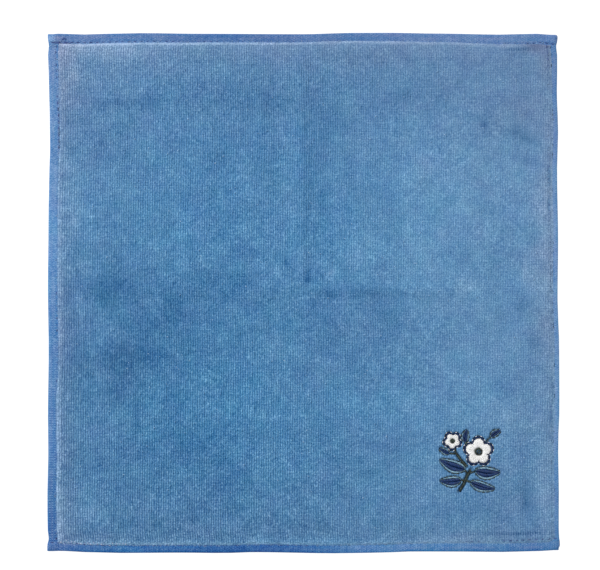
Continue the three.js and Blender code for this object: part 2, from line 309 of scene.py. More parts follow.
def relief(x, y):
    """How far the pile stands over or under its plain height."""
    height = np.zeros(np.broadcast(x, y).shape)
    for rise, along_x, along_y, start in WAVES:
        height += rise * np.sin(2 * math.pi * (x / along_x + y / along_y) + start)
    for x1, y1, x2, y2, rise, spread in CREASES:
        height += rise * np.exp(-(segment_distance(x, y, x1, y1, x2, y2) / spread) ** 2)
    left, right, near, far = distances(x, y)
    side = np.minimum(left, right)
    end = np.minimum(near, far)
    for rise, pitch, reach in PUCKERS:
        height += rise * np.sin(2 * math.pi * y / pitch + x / WIDTH) * np.exp(-side / reach)
        height += rise * np.sin(2 * math.pi * x / pitch + y / LENGTH) * np.exp(-end / reach)
    return height


print("creases:", len(CREASES), "waves:", len(WAVES), "sets of puckers:", len(PUCKERS))

# %% [markdown]
# A cut pile looks lighter or darker by the way its fibres lean, as when a hand strokes velvet.
# Handling has left soft patches of both kinds, and those along the creases and folds are painted
# light and shade. Each is an oval at its real size in millimetres, with how far it lifts or lays
# the pile. Their sum, the nap with its painted shading, is kept on the mesh for the material to
# use, which needs no picture to be painted.

# %% Patches of the nap, with painted light and shade along the creases
# ovals of the nap; those along the creases and folds are painted light and shade
NAP_AND_SHADING_PATCHES = [
    # x, y, half width, half length, lift, and the turn in degrees of a turned one
    # broad ones
    (-5, -5, 60, 45, -0.12), (10, -116, 60, 5, -0.15), (84, 50, 30, 37, 0.45),
    (114, 26, 11, 37, 0.18), (0, 121, 127, 4, 0.45), (120, -20, 8, 110, 0.2),
    (-70, -72, 54, 54, -0.3), (120.5, 20, 4, 100, 0.15), (120.5, 55, 4, 40, 0.2),
    (-60, -15, 45, 12, -0.15), (-116, 70, 8, 36, 0.18), (6, 60, 6, 54, -0.3),
    (-46, 95, 40, 4, -0.25), (20, 119, 50, 6, -0.15),
    # the far left quarter
    (-90, 8, 16, 8, -0.28), (-44, 62, 9, 9, -0.15), (-44, 28, 8, 10, -0.12),
    (-102, 119, 32, 7, 0.88), (-114, 107, 8, 9, 0.65), (-90, 108, 30, 12, 0.25),
    (-113, 47, 7, 19, 0.6), (-105, 114, 14, 8, -0.18), (-95, 55, 8, 10, 0.25),
    (-96, 1, 7, 7, -0.65), (-38, 7, 14, 5, -0.55), (-75, 1, 30, 7, -0.3), (-30, 97, 30, 8, -0.18),
    (-44, 74, 8, 10, -0.15), (-44, 44, 9, 24, -0.18),
    # the far right quarter
    (56, 12, 12, 14, 0.3), (52, 98, 20, 8, -0.15), (53, 63, 7, 27, 0.2), (82, 4, 7, 6, 0.25),
    (117, 50, 6, 20, 0.3), (115, 61, 7, 8, -0.2), (30, 21, 9, 11, 0.5), (31, 1, 7, 2, -0.5),
    (120.6, 57.5, 0.8, 4, -0.9), (120.6, 43, 0.8, 3.5, -0.9), (88, 45, 5, 6, -0.3),
    (112, 8, 9, 10, 0.3), (62, 60, 9, 9, 0.2), (53, 96, 17, 4, -0.2), (89, 84, 6, 5, -0.45),
    (106, 79, 12, 3, -0.3, -25), (111, 122, 6, 5, -0.4), (114, 121.5, 5, 1.5, -0.6),
    # the middle, from the near edge to the far one
    (-20, -52, 14, 12, 0.15), (-19, 115, 20, 7, 0.25), (9, -62, 8, 8, -0.2),
    (-12, -28, 10, 6, 0.4), (-8, 50, 4, 30, 0.25), (-14, 11, 4, 4, 0.35),
    (13.5, 10.5, 3.5, 2.2, 0.7, 25), (-1.5, 15, 1.5, 5, 0.35), (20, -57, 10, 7, 0.2),
    (1, -77, 1.5, 10, 0.3), (24, -0.5, 16, 2.5, -0.35), (13.2, 0.8, 2.4, 2.8, -0.75),
    (12, -15, 8, 13, -0.35), (2.0, 7.0, 1.8, 1.7, -1.25), (2.0, 13, 3, 3.5, 0.3),
    (-8.2, 15.2, 1.6, 1.6, -0.4), (0, 85, 10, 12, -0.2), (-9, -10, 9, 8, -0.22),
    (5, -105, 26, 12, -0.15), (0, 52, 14, 12, -0.18), (15, 85, 9, 12, -0.3),
    (-19, 80, 5, 27, -0.35), (-20, 91, 12, 9, -0.2), (13, -77, 12, 20, -0.2),
    (-3, -74, 2, 14, -0.3),
    # the near left quarter
    (-40, -28, 26, 12, -0.15), (-80, -16, 16, 12, -0.28), (-74, -97, 16, 8, 0.18),
    (-112, -100, 10, 28, 0.2), (-98, -64, 24, 9, 0.22), (-116, -120, 8, 4, 0.15),
    (-97, -9, 8, 7, -0.18), (-70, -54, 16, 10, -0.15), (-104, -106, 9, 6, 0.5),
    (-83, -30, 16, 7, -0.8), (-86, -40, 7, 7, -0.35), (-107, -40, 11, 11, -0.35),
    (-63, -8, 6, 8, -0.55), (-41, 0, 14, 4, -0.25), (-55, -70, 11, 7, -0.35),
    (-32, -96, 7, 10, -0.4), (-77, -25, 14, 12, -0.12), (-44, -82, 12, 10, -0.2),
    # the near right quarter
    (36, -28, 12, 8, -0.2), (53, -60, 14, 8, 0.3), (58, -98, 12, 7, 0.2), (86, -38, 24, 30, 0.35),
    (99, -60, 12, 11, 0.35), (114, -82, 8, 16, 0.25), (45, -9, 8, 6, -0.18), (62, 0, 7, 26, 0.12),
    (62, -87, 6, 10, 0.2), (118, -102, 3, 20, 0.35), (41, -1.5, 9, 2, -0.2),
    (52, -1, 20, 3, -0.25), (40, -13, 7, 8, -0.3), (29, -42, 7, 7, -0.25),
    (45, -108, 12, 12, -0.2), (98, -46, 10, 8, -0.25), (110, -96, 4, 17, -0.55),
    (74, -119, 16, 4, 0.45), (106, -122, 14, 3, 0.2), (82, -107, 14, 8, -0.3),
    (50, -74, 8, 9, -0.3), (30, -82, 10, 14, -0.2),
]
print("patches of the nap:", len(NAP_AND_SHADING_PATCHES))

# %% [markdown]
# Over the patches lie finger marks and rubbed spots, and painted light and shade along short
# folds, most of them only a few millimetres wide. They are ovals of the same kind, and one
# factor strengthens them all alike. Short rows of dents are painted shade, deepest in the
# valleys between the ribs. Besides, the whole right side is brushed up a little more than the
# left.

# %% Small marks, painted shading of short folds, and painted shade of dents
MARK_LIFT = 1.45
SLOPE_LIFT = 0.18
SLOPE_MIDDLE = 15.0
SLOPE_REACH = 70.0
# finger marks and rubbed spots, and painted light and shade along short folds
MARKS_AND_FOLD_SHADING = [
    # columns as for the patches
    # towards the far right corner
    (89, 83, 1.8, 4, -0.5), (107, 77, 10, 1.8, -0.4, -23), (109, 65.5, 8, 1.4, -0.3, -18),
    (72, 46, 4, 1.2, -0.3), (89, 41, 8, 4, -0.15), (50, 96.5, 5, 1.8, -0.25),
    (45.6, 85, 0.9, 14, -0.35), (102, 121, 8, 2, 0.25),
    # towards the far left corner
    (-109, 113, 1.6, 4, -0.4), (-117.5, 107, 1.8, 1.8, -0.3), (-117, 100, 2, 3, 0.35),
    (-112.5, 107, 2.5, 3, 0.3), (-88, 93, 22, 1.8, -0.22), (-98.5, 92, 3, 3, -0.3),
    (-75, 94, 4, 3, -0.3), (-90.5, 76, 1, 6, -0.3), (-99.5, 73, 2, 4, -0.3),
    (-113.5, 71.5, 4, 1.6, -0.35, 20),
    # round the middle
    (2.2, 45, 1.6, 4.5, -0.35), (9.5, 46, 1.3, 4, -0.35), (1, 30, 1.2, 5, -0.2),
    (-8.8, 15.5, 1.5, 1.5, -0.4), (2.3, 6.4, 1.6, 1.8, -0.7), (2.4, 10.5, 1.8, 2, -0.35),
    (13.2, 9.6, 3, 1, 0.4, 35), (13.8, -0.3, 2, 2.2, -0.3), (20.2, 0.3, 2, 2.4, 0.5),
    (-34.5, 4.5, 6, 5, -0.25), (-12, 10, 2, 3, 0.3),
    # the left side
    (-95.4, 3.5, 7, 5, -0.3), (-109.5, -8, 1.8, 12, 0.3), (-109, 16, 3, 4, 0.3),
    (-112.5, 35, 2, 3, 0.35), (-104.5, 30, 2, 2.5, 0.35), (-79.5, -8.5, 2, 2.5, -0.3),
    (-62, -9.5, 4, 4, -0.2), (-93, -35, 4, 6, -0.15), (-60, -37.5, 3, 2.5, -0.25),
    (-99, -18, 6, 6, 0.2), (-60, 24, 2, 14, 0.18),
    # the near left quarter
    (-82, -60, 1.2, 9, -0.35), (-82, -67, 2.5, 3, -0.3), (-90.5, -48, 5, 4, -0.3),
    (-61, -50, 2.5, 2.5, -0.3), (-88, -76.5, 5, 3.5, -0.3), (-74.5, -76.5, 3, 3, -0.25),
    (-94, -69.5, 4, 3, 0.3), (-104.5, -107.5, 5, 3.5, 0.3), (-54, -110, 4, 3.5, -0.3),
    (-71.5, -98.5, 2, 2, -0.35), (-55, -75, 9, 4, -0.2), (-42.5, -84, 1.5, 6, -0.3),
    (-111.5, -79.5, 3, 3, -0.25), (-116.3, -76, 2, 1.5, 0.5), (-96, -116, 2, 1.5, -0.3),
    (-51, -55, 6, 7, 0.2), (-91.5, -109, 5, 4, -0.2),
    # the right side
    (79, 17.5, 5, 3, -0.3), (95, 14, 4, 3.5, -0.3), (78, 2.5, 5, 5, 0.25),
    (113.5, 27.5, 3, 3.5, -0.35), (115, 14.5, 3, 2, -0.25), (101.5, 30, 5, 4, -0.2),
    (108.8, 11, 1.5, 7, 0.3), (106.5, -7, 4, 3, -0.35), (112.5, -26, 2.5, 3, -0.4),
    (105, -25.5, 4, 6, 0.2), (99, -46, 4, 3, -0.25), (47.5, -16, 2.5, 2, -0.35),
    (39.5, -9.5, 4, 4, -0.2), (53.5, 25, 6, 6, 0.2), (67.5, 29, 2, 3, 0.35),
    (109, -102, 2.2, 5, -0.4),
]
# rows of painted shade for dents in the pile, deepest in the rib valleys
DENT_SHADES = [
    # columns as for the patches
    (106, 119.6, 7, 0.6, -1.2), (106, -118.2, 12, 0.7, -1.1), (80, -118.2, 30, 0.7, -0.5),
    (-107, -118.6, 5, 1.2, -0.5),
]


def patch_sum(x, y, patches):
    """The sum of soft ovals at a point."""
    total = np.zeros(np.broadcast(x, y).shape)
    for at_x, at_y, half_width, half_length, lift, *turn in patches:
        angle = math.radians(turn[0]) if turn else 0.0
        c, s = math.cos(angle), math.sin(angle)
        u = ((x - at_x) * c + (y - at_y) * s) / half_width
        v = ((y - at_y) * c - (x - at_x) * s) / half_length
        total += lift * np.exp(-u * u - v * v)
    return total


def nap_and_shading(x, y):
    """The nap's lean: above 0 is brushed up and pale, below 0 is stroked down and deep. It also
    holds painted light and shade along the creases and folds.
    """
    slope = SLOPE_LIFT * np.tanh((x - SLOPE_MIDDLE) / SLOPE_REACH)
    marks_and_fold_shading = MARK_LIFT * patch_sum(x, y, MARKS_AND_FOLD_SHADING)
    return slope + patch_sum(x, y, NAP_AND_SHADING_PATCHES) + marks_and_fold_shading


print("small marks:", len(MARKS_AND_FOLD_SHADING), "rows of dents:", len(DENT_SHADES))

# %% [markdown]
# The blue itself isn't even either. Where the pile is worn or rubbed, as along the hems, it
# has turned greyer, and where it is fresh it keeps a touch of green. Ovals give this cast as
# well, and pile that is brushed right up looks greyer too.

# %% The dye's cast
CAST_MIDDLE = 0.5
GREY_SHARE = 0.45
GREY_FROM = 0.4
GREY_RANGE = 1.2
CAST_PATCHES = [
    # columns as for the patches of the nap: over 0 is greyer, under 0 is greener
    # broad ones
    (0, 121, 140, 10, 0.5), (0, 100, 120, 12, 0.15), (60, 118, 60, 12, 0.1),
    (75, 92, 45, 30, 0.22), (-122, 0, 9, 140, 0.45), (124, 0, 9, 140, 0.25),
    (100, 0, 30, 90, 0.12), (117, 60, 7, 75, 0.1), (120.5, 20, 4, 100, 0.2),
    (114.5, 28, 3.5, 50, 0.12), (0, 114, 120, 10, 0.06), (0, 20, 35, 60, -0.1),
    (0, -120, 140, 10, 0.2), (0, -122.5, 35, 3, -0.3), (93, -120, 35, 4, 0.25),
    (109, -82, 13, 42, 0.12), (-15, -90, 50, 25, -0.18), (-40, 0, 70, 110, -0.2),
    (-53, 38, 42, 32, -0.15), (57, 46, 25, 40, -0.15),
    # the far left quarter
    (-110, 114, 20, 12, 0.1), (-117, 105, 9, 25, 0.4), (-114, 121, 7, 3, 0.2),
    (-103, 85, 18, 30, 0.22), (-80, 114, 26, 8, 0.12),
    # the far right quarter
    (110, 103, 14, 22, 0.15), (114, 121.5, 5, 2.5, 0.5), (105, 88, 18, 16, 0.2),
    (62, 61, 8, 8, 0.15), (104, 3, 8, 12, -0.12), (106, 95, 14, 18, 0.1), (115, 40, 8, 14, -0.15),
    (119.5, 113, 4.5, 9, 0.4), (113, 119, 7, 4, 0.25),
    # the middle, from the near edge to the far one
    (18, 28, 20, 18, -0.15),
    # the near left quarter
    (-118, -110, 7, 14, 0.25), (-114.5, -80, 3.5, 30, 0.15), (-117, -18, 9, 18, 0.15),
    (-105, -98, 12, 12, -0.13), (-104, -120, 16, 3, 0.25), (-87, -38, 14, 15, 0.2),
    (-75, -60, 28, 34, -0.25), (-31, -55, 25, 32, -0.3),
    # the near right quarter
    (117.5, -14.5, 4, 4, 0.25), (112, -63, 5, 10, 0.12), (116, -27, 8, 12, 0.12),
    (88, -42, 16, 18, -0.13), (104, -104, 14, 14, 0.13), (33, -57, 34, 15, -0.25),
]


def cast(x, y, lean_and_shading):
    """The dye's cast: 1 is worn to a greyer blue, 0 is a fresh greenish one."""
    rubbed = GREY_SHARE * np.clip(lean_and_shading - GREY_FROM, 0, GREY_RANGE)
    return CAST_MIDDLE + patch_sum(x, y, CAST_PATCHES) + rubbed


print("patches of the cast:", len(CAST_PATCHES))

# %% [markdown]
# Cotton velour is terry whose loops are sheared, so that each tuft ends in hundreds of cut
# fibres. They scatter light evenly, with a faint glow at low angles and no shine. One ramp of
# blues holds the pile, from deep to pale: brushed-up patches are pale, valleys take the deep end
# as painted shade and crests the pale end as painted highlight, and the cast moves the whole ramp.

# %% Blues of the velour
PILE_BLUES_AND_SHADING = [
    # place on the ramp, colour: from the painted shade of the valleys to the painted highlight of
    # the crests and the brushed tips
    (0.00, "#2a5b8c"),
    (0.21, "#43729f"),
    (0.425, "#5682ae"),
    (0.64, "#6c98bf"),
    (0.85, "#86b1d7"),
    (1.00, "#98c2e8"),
]
RAMP_MIDDLE = 0.425
# how many steps of 255 the red, green and blue of the ramp move where worn and where fresh
WORN_BY = (6, -3, -7)
FRESH_BY = (-8, 4, 5)


def moved(stops, steps):
    """A ramp with the red, green and blue of every stop moved by so many steps of 255."""
    result = []
    for place, colour in stops:
        parts = [int(colour[i:i + 2], 16) for i in (1, 3, 5)]
        result.append((place, "#%02x%02x%02x" % tuple(p + d for p, d in zip(parts, steps))))
    return result


def dye_ramp(tree, factor, stops):
    """The blue at a place on the ramp, from a table of places and colours."""
    ramp = add(tree, "ShaderNodeValToRGB", links={"Fac": factor})
    elements = ramp.color_ramp.elements
    while len(elements) < len(stops):
        elements.new(0.5)
    for element, (place, colour) in zip(elements, stops):
        element.position = place
        element.color = linear(colour)
    return ramp.outputs["Color"]


print("worn middle blue:", moved(PILE_BLUES_AND_SHADING, WORN_BY)[2][1])

# %% [markdown]
# Grain is what makes velour look soft and alive. The finest spots, from single tufts, are
# 0.3 mm wide, less than a pixel. Tufts lean together in clumps of 0.7 to 4.5 mm, some of them
# drawn out across the towel, and the dye took unevenly in patches of about 12 mm. Single
# fibres of 0.015 mm are far too fine to show. All of it is noise, whose size is given in
# millimetres, and each kind takes a share of the ramp of blues.

# %% Grain, clumps and mottle
FINE_GRAINS = [
    # size across, size along, share of the ramp
    (0.32, 0.34, 1.1),
]
CLUMPS = [
    (0.7, 0.8, 0.25),
    (1.8, 0.38, 0.25),
    (1.6, 1.8, 0.26),
    (4.5, 4.5, 0.3),
]
CAST_GRAINS = [(4.0, 5.0, 0.5)]
MOTTLE_SIZE = 12.0
MOTTLE = 0.03
# a cell of noise holds a light and a dark spot, so its scale is one half
SPOTS = {"Scale": 0.5, "Detail": 1.0, "Roughness": 0.5}
# each kind of spots is read at a place of its own in the endless noise
GRAIN_SEED = 3.1
SEED_STEP = 3.1


def spots(tree, where, across, along, seed):
    """Soft light and dark spots about 0.5, with their size in mm."""
    scaled = add(tree, "ShaderNodeMapping", {
        "Scale": (1 / across / MM, 1 / along / MM, 1 / across / MM),
        "Location": (seed, seed * 1.7, seed * 0.6),
    }, {"Vector": where})
    return add(tree, "ShaderNodeTexNoise", SPOTS, {"Vector": scaled.outputs[0]}).outputs["Fac"]


def add_share(tree, total, factor, share, strength=None):
    """total + share * (factor - 0.5), times a strength where one is given"""
    centred = add(tree, "ShaderNodeMath", {"operation": "SUBTRACT", 1: 0.5}, {0: factor})
    if strength is not None:
        centred = add(tree, "ShaderNodeMath", {"operation": "MULTIPLY"},
                      {0: centred.outputs[0], 1: strength})
    return add(tree, "ShaderNodeMath", {"operation": "MULTIPLY_ADD", 1: share},
               {0: centred.outputs[0], 2: total}).outputs[0]


def add_grains(tree, where, total, grains, seed, strength=None):
    """total with the spots of a table of grains added, each kind from another place."""
    for number, (across, along, share) in enumerate(grains):
        grain = spots(tree, where, across, along, seed + SEED_STEP * number)
        total = add_share(tree, total, grain, share, strength)
    return total


def dyed(tree, where, total, stops, streak=None):
    """The dye's colour between its fresh and its worn cast, with a mottled hue."""
    worn = add(tree, "ShaderNodeAttribute", {"attribute_name": "cast"}).outputs["Fac"]
    worn = add_grains(tree, where, worn, CAST_GRAINS, seed=11.0)
    if streak is not None:
        worn = add_share(tree, worn, streak, 1.0)
    mixed = add(tree, "ShaderNodeMix", {"data_type": "RGBA", "clamp_factor": False}, {
        0: worn, 6: dye_ramp(tree, total, moved(stops, FRESH_BY)),
        7: dye_ramp(tree, total, moved(stops, WORN_BY)),
    })
    mottle = add(tree, "ShaderNodeTexNoise", {
        "Scale": 1 / MOTTLE_SIZE / MM, "Detail": 3.0, "Roughness": 0.7,
    }, {"Vector": where})
    hue = add(tree, "ShaderNodeMath", {
        "operation": "MULTIPLY_ADD", 1: MOTTLE, 2: 0.5 - MOTTLE / 2,
    }, {0: mottle.outputs["Fac"]})
    return add(tree, "ShaderNodeHueSaturation",
               links={"Hue": hue.outputs[0], "Color": mixed.outputs[2]}).outputs[0]


def surfaced(tree, colour, height, strength, depth, settings):
    """Ends a material: its colour, a fine relief with its depth in mm, and how it shines."""
    bump = add(tree, "ShaderNodeBump", {"Strength": strength, "Distance": depth * MM},
               {"Height": height})
    surface = add(tree, "ShaderNodeBsdfPrincipled", settings,
                  {"Base Color": colour, "Normal": bump.outputs[0]})
    add(tree, "ShaderNodeOutputMaterial", links={"Surface": surface.outputs[0]})


print("sizes of grain, mm:", [grain[:2] for grain in FINE_GRAINS + CLUMPS])

# %% [markdown]
# The velour's place on the ramp starts in the middle. The nap with its painted shading moves it
# most, then the painted shade and highlight of the ribs, and then the rows of tufts, which stand
# 1.207 mm apart. Cotton hardly shines: it is rough, has next to no mirror light and a faint pale
# sheen from the fibres that stand up.

# %% Sheared cotton velour
NAP_SHARE = 0.23
RIB_SHARE = 0.17
ROW_SHARE = 0.068
TUFT_ROW = 1.207
GRAIN_DEPTH = 0.12
COTTON = {
    "Roughness": 0.95, "IOR": 1.5, "Specular IOR Level": 0.15,
    "Sheen Weight": 0.12, "Sheen Roughness": 0.5, "Sheen Tint": linear("#c9dcf0"),
}


def cotton_pile(name, grains, clumps, rib_share, nap_share, depth):
    """Cotton pile: its place on the ramp comes from the painted shade and highlight of the rib,
    the nap with its painted shading, and the grain.
    """
    material, tree = new_material(name)
    where = add(tree, "ShaderNodeTexCoord").outputs["Object"]
    rib_light_and_shade, lean_and_shading, grainy, clumped = (
        add(tree, "ShaderNodeAttribute", {"attribute_name": kept}).outputs["Fac"]
        for kept in ("rib_light_and_shade", "nap_and_shading", "grainy", "clumped"))
    start = add(tree, "ShaderNodeMath", {"operation": "MULTIPLY_ADD", 1: nap_share,
                                         2: RAMP_MIDDLE}, {0: lean_and_shading})
    total = add_share(tree, start.outputs[0], rib_light_and_shade, rib_share)
    along = add(tree, "ShaderNodeSeparateXYZ", links={0: where}).outputs["Y"]
    turn = add(tree, "ShaderNodeMath", {"operation": "MULTIPLY", 1: 2 * math.pi / TUFT_ROW / MM},
               {0: along})
    rows = add(tree, "ShaderNodeMath", {"operation": "SINE"}, {0: turn.outputs[0]})
    total = add(tree, "ShaderNodeMath", {"operation": "MULTIPLY_ADD", 1: ROW_SHARE / 2},
                {0: rows.outputs[0], 2: total}).outputs[0]
    total = add_grains(tree, where, total, grains, GRAIN_SEED, grainy)
    total = add_grains(tree, where, total, clumps, 2 * GRAIN_SEED, clumped)
    surfaced(tree, dyed(tree, where, total, PILE_BLUES_AND_SHADING),
             spots(tree, where, *grains[0][:2], GRAIN_SEED), 0.6, depth, COTTON)
    return material


velour = cotton_pile("sheared_cotton_velour", FINE_GRAINS, CLUMPS, RIB_SHARE, NAP_SHARE,
                     GRAIN_DEPTH)
print("velour material:", velour.name)

# %% [markdown]
# The hems are a plain-woven band with no pile. It is smoother and a purer blue than the pile.
# Yarns of 0.3 mm are too fine for a picture with 0.49 mm to a pixel, so slanting ones are
# drawn 1 mm apart. Two sets of shallow bars cross in checks 1.2 mm wide: one set is the rows
# of the pile's weave running on into the band, the other the yarns along it. Single yarns
# that took the dye differently make long streaks. How strong the bars are, and the small
# differences in blue between the four sides with the painted light and shade of the folds and
# seams, are kept on the mesh.

# %% Plain-woven cotton band
YARN_DRAWN = 1.0
YARN_ANGLES = [
    # slant of a set of yarns in degrees, and its share of the ramp
    (62, 0.12),
    (-58, 0.10),
]
YARN_WAVE = {"Distortion": 1.2, "Detail": 1.0, "Detail Scale": 0.6}
# bands of a wave texture at scale 1 repeat every 0.314 of its units
WAVE_REPEAT = 0.314
BAR_PITCH = 1.2
BAR_SHARE = 0.26
BAR_WOBBLE = 4.0
CHECK_PITCH = 1.2
CHECK_SHARE = 0.8
PLAIN_SHARE = 0.6
BAND_GRAINS = [(0.36, 0.36, 0.8), (0.9, 0.9, 0.3), (3.5, 3.5, 0.2)]
STREAK_WIDTH = 0.7
STREAK_LENGTH = 9.0
STREAK_SHARE = 0.3
WEAVE_DEPTH = 0.08
WOVEN_COTTON = {"Roughness": 0.9, "IOR": 1.5, "Specular IOR Level": 0.1}
BAND_RAMP = [
    (0.00, "#1d4683"),
    (0.15, "#2d5a9a"),
    (0.45, "#4772a8"),
    (0.66, "#5f82b3"),
    (1.00, "#85a4cd"),
]


def wobbling_bars(tree, where, place, pitch, seed):
    """Bars across one coordinate, a sine with its pitch in mm and a wobble."""
    turn = add(tree, "ShaderNodeMath", {"operation": "MULTIPLY", 1: 2 * math.pi / pitch / MM},
               {0: place})
    uneven = spots(tree, where, 1.0, 1.0, seed)
    turn = add_share(tree, turn.outputs[0], uneven, BAR_WOBBLE)
    return add(tree, "ShaderNodeMath", {"operation": "SINE"}, {0: turn}).outputs[0]


def hem_weave(tree, where):
    """Bars across a hem, broken into checks where they cross the yarns that run along it, and
    long streaks where single yarns took the dye differently."""
    end = add(tree, "ShaderNodeAttribute", {"attribute_name": "end"}).outputs["Fac"]
    parts = add(tree, "ShaderNodeSeparateXYZ", links={0: where}).outputs
    along = add(tree, "ShaderNodeMix", {"data_type": "FLOAT"}, {0: end, 2: parts[1], 3: parts[0]})
    across = add(tree, "ShaderNodeMix", {"data_type": "FLOAT"}, {0: end, 2: parts[0], 3: parts[1]})
    bar = wobbling_bars(tree, where, along.outputs[0], BAR_PITCH, seed=2.3)
    yarn = wobbling_bars(tree, where, across.outputs[0], CHECK_PITCH, seed=7.9)
    strength = add(tree, "ShaderNodeMath", {
        "operation": "MULTIPLY_ADD", 1: CHECK_SHARE, 2: PLAIN_SHARE,
    }, {0: yarn})
    checks = add(tree, "ShaderNodeMath", {"operation": "MULTIPLY"},
                 {0: bar, 1: strength.outputs[0]}).outputs[0]
    in_hem = add(tree, "ShaderNodeCombineXYZ", links={0: across.outputs[0], 1: along.outputs[0]})
    streak = spots(tree, in_hem.outputs[0], STREAK_WIDTH, STREAK_LENGTH, seed=4.4)
    return checks, streak


def slanting_bands(tree, where, angle, pitch, settings):
    """Bands at a slant in degrees with their pitch in mm, as yarns and plies lie."""
    turned = add(tree, "ShaderNodeMapping", {
        "Rotation": (0, 0, math.radians(angle)), "Scale": (1 / MM, 1 / MM, 1 / MM),
    }, {"Vector": where})
    return add(tree, "ShaderNodeTexWave", {
        "wave_type": "BANDS", "bands_direction": "X", "Scale": WAVE_REPEAT / pitch, **settings,
    }, {"Vector": turned.outputs[0]}).outputs["Fac"]


def woven_band(name):
    """Plain weave: checks and streaks, slanting yarns over them, and its grain over all."""
    material, tree = new_material(name)
    where = add(tree, "ShaderNodeTexCoord").outputs["Object"]
    tone_and_shading, barred, speckled = (
        add(tree, "ShaderNodeAttribute", {"attribute_name": kept}).outputs["Fac"]
        for kept in ("tone_and_shading", "barred", "speckled"))
    strength = add(tree, "ShaderNodeMath", {"operation": "MULTIPLY", 1: BAR_SHARE / 2},
                   {0: barred})
    checks, streak = hem_weave(tree, where)
    total = add(tree, "ShaderNodeMath", {"operation": "MULTIPLY_ADD"},
                {0: checks, 1: strength.outputs[0], 2: tone_and_shading}).outputs[0]
    total = add_share(tree, total, streak, STREAK_SHARE)
    yarns = [slanting_bands(tree, where, angle, YARN_DRAWN, YARN_WAVE) for angle, _ in YARN_ANGLES]
    for height, (_, share) in zip(yarns, YARN_ANGLES):
        total = add_share(tree, total, height, share)
    total = add_grains(tree, where, total, BAND_GRAINS, 5.3, speckled)
    surfaced(tree, dyed(tree, where, total, BAND_RAMP, streak), yarns[0], 0.5, WEAVE_DEPTH,
             WOVEN_COTTON)
    return material


band = woven_band("plain_woven_cotton_band")
print("band material:", band.name)

# %% [markdown]
# Each hem is the cloth turned under twice and sewn through. From the edge inward it has a
# round fold, a flat band, and a valley where the lockstitch pulls it down. The bands are about
# 4 mm wide, and the right one 3 mm. Along it and at the right end of the near hem the stitches
# run further in, with pile on both sides of them. The far and near hems were sewn last and lie
# over the side hems, so each corner has a small raised tab. Each profile is a short table of
# pairs, read with straight runs between them, so that one can be changed without the others.

# %% Hem profiles
STITCH = 3.11
SEAMS = [
    # pairs of place along the edge and how far inside it the row of stitches runs
    [(-122, 3.7), (-60, 3.9), (-38, 4.2), (67, 4.2), (72, 4.45), (87, 4.4), (95, 3.9),
     (122, 3.8)],
    [(-122, 3.5), (-68, 3.2), (-64, 4.2), (-55, 4.2), (-50, 3.3), (-25, 2.9), (-2, 2.9),
     (5, 3.8), (35, 4.2), (95, 4.3), (122, 4.8)],
    [(-125, 4.3), (-108, 4.0), (-95, 3.5), (0, 3.6), (55, 4.2), (95, 5.6), (125, 5.9)],
    [(-125, 4.3), (-110, 4.2), (0, 3.7), (60, 3.8), (100, 4.3), (113, 4.75), (118, 4.0),
     (125, 5.0)],
]
# pairs of distance inside the edge, or past the seam in a valley, and height
FRONT_FOLD = [(0, 0.95), (0.05, 1.4), (0.15, 1.7), (0.4, 1.9), (0.9, 1.98), (1.9, 2.0)]
FRONT_VALLEY = [(-0.8, 1.99), (-0.4, 1.96), (0, 1.85), (0.4, 1.92), (1.3, 1.92), (1.8, 1.35)]
BACK_FOLD = [(0, 0.95), (0.08, 0.6), (0.25, 0.3), (0.6, 0.08), (1.1, 0.0), (3.2, 0.0)]
BACK_VALLEY = [(-0.6, 0.0), (0, 0.3), (0.5, 0.12), (1.1, 0.2), (1.5, 0.62), (1.9, 0.9)]
GROUND_TOP = 1.35
GROUND_LOW = 0.9
LAP_RISE = 0.4
# the fold, the valley, the height of the ground and the rise of the end hems at the corners
FRONT = (FRONT_FOLD, FRONT_VALLEY, GROUND_TOP, LAP_RISE)
BACK = (BACK_FOLD, BACK_VALLEY, GROUND_LOW, 0.0)
PUCKER = [0.03, 0.03, 0.08, 0.08]
PUCKER_REACH = 1.6
LAP_STEP = 0.7
TAB_FROM = 3.6
TAB_TO = 5.6
SIDE_FOLD = 1.4
SIDE_ZONE = 7.0
END_ZONE = 2.0
RIM = 1.2


def table_value(table, place):
    """Reads a table of pairs with straight runs between its rows."""
    keys, values = zip(*table)
    return np.interp(place, keys, values)


def along_edges(tables, x, y):
    """Reads each edge's own table at a place along that edge."""
    return [table_value(table, y if side < 2 else x) for side, table in enumerate(tables)]


def hem_height(inside, seam, along, pucker, fold, valley, ground):
    """Height across a hem: the fold, then the valley at the seam, then the ground. Each
    stitch draws it toward the middle of the cloth a little."""
    drawn = pucker * np.cos(2 * math.pi * along / STITCH)
    near_seam = np.exp(-((inside - seam) / PUCKER_REACH) ** 2)
    sign = 1 if ground == GROUND_TOP else -1
    height = np.where(inside < seam + valley[0][0], table_value(fold, inside),
                      table_value(valley, inside - seam))
    return height - sign * drawn * near_seam


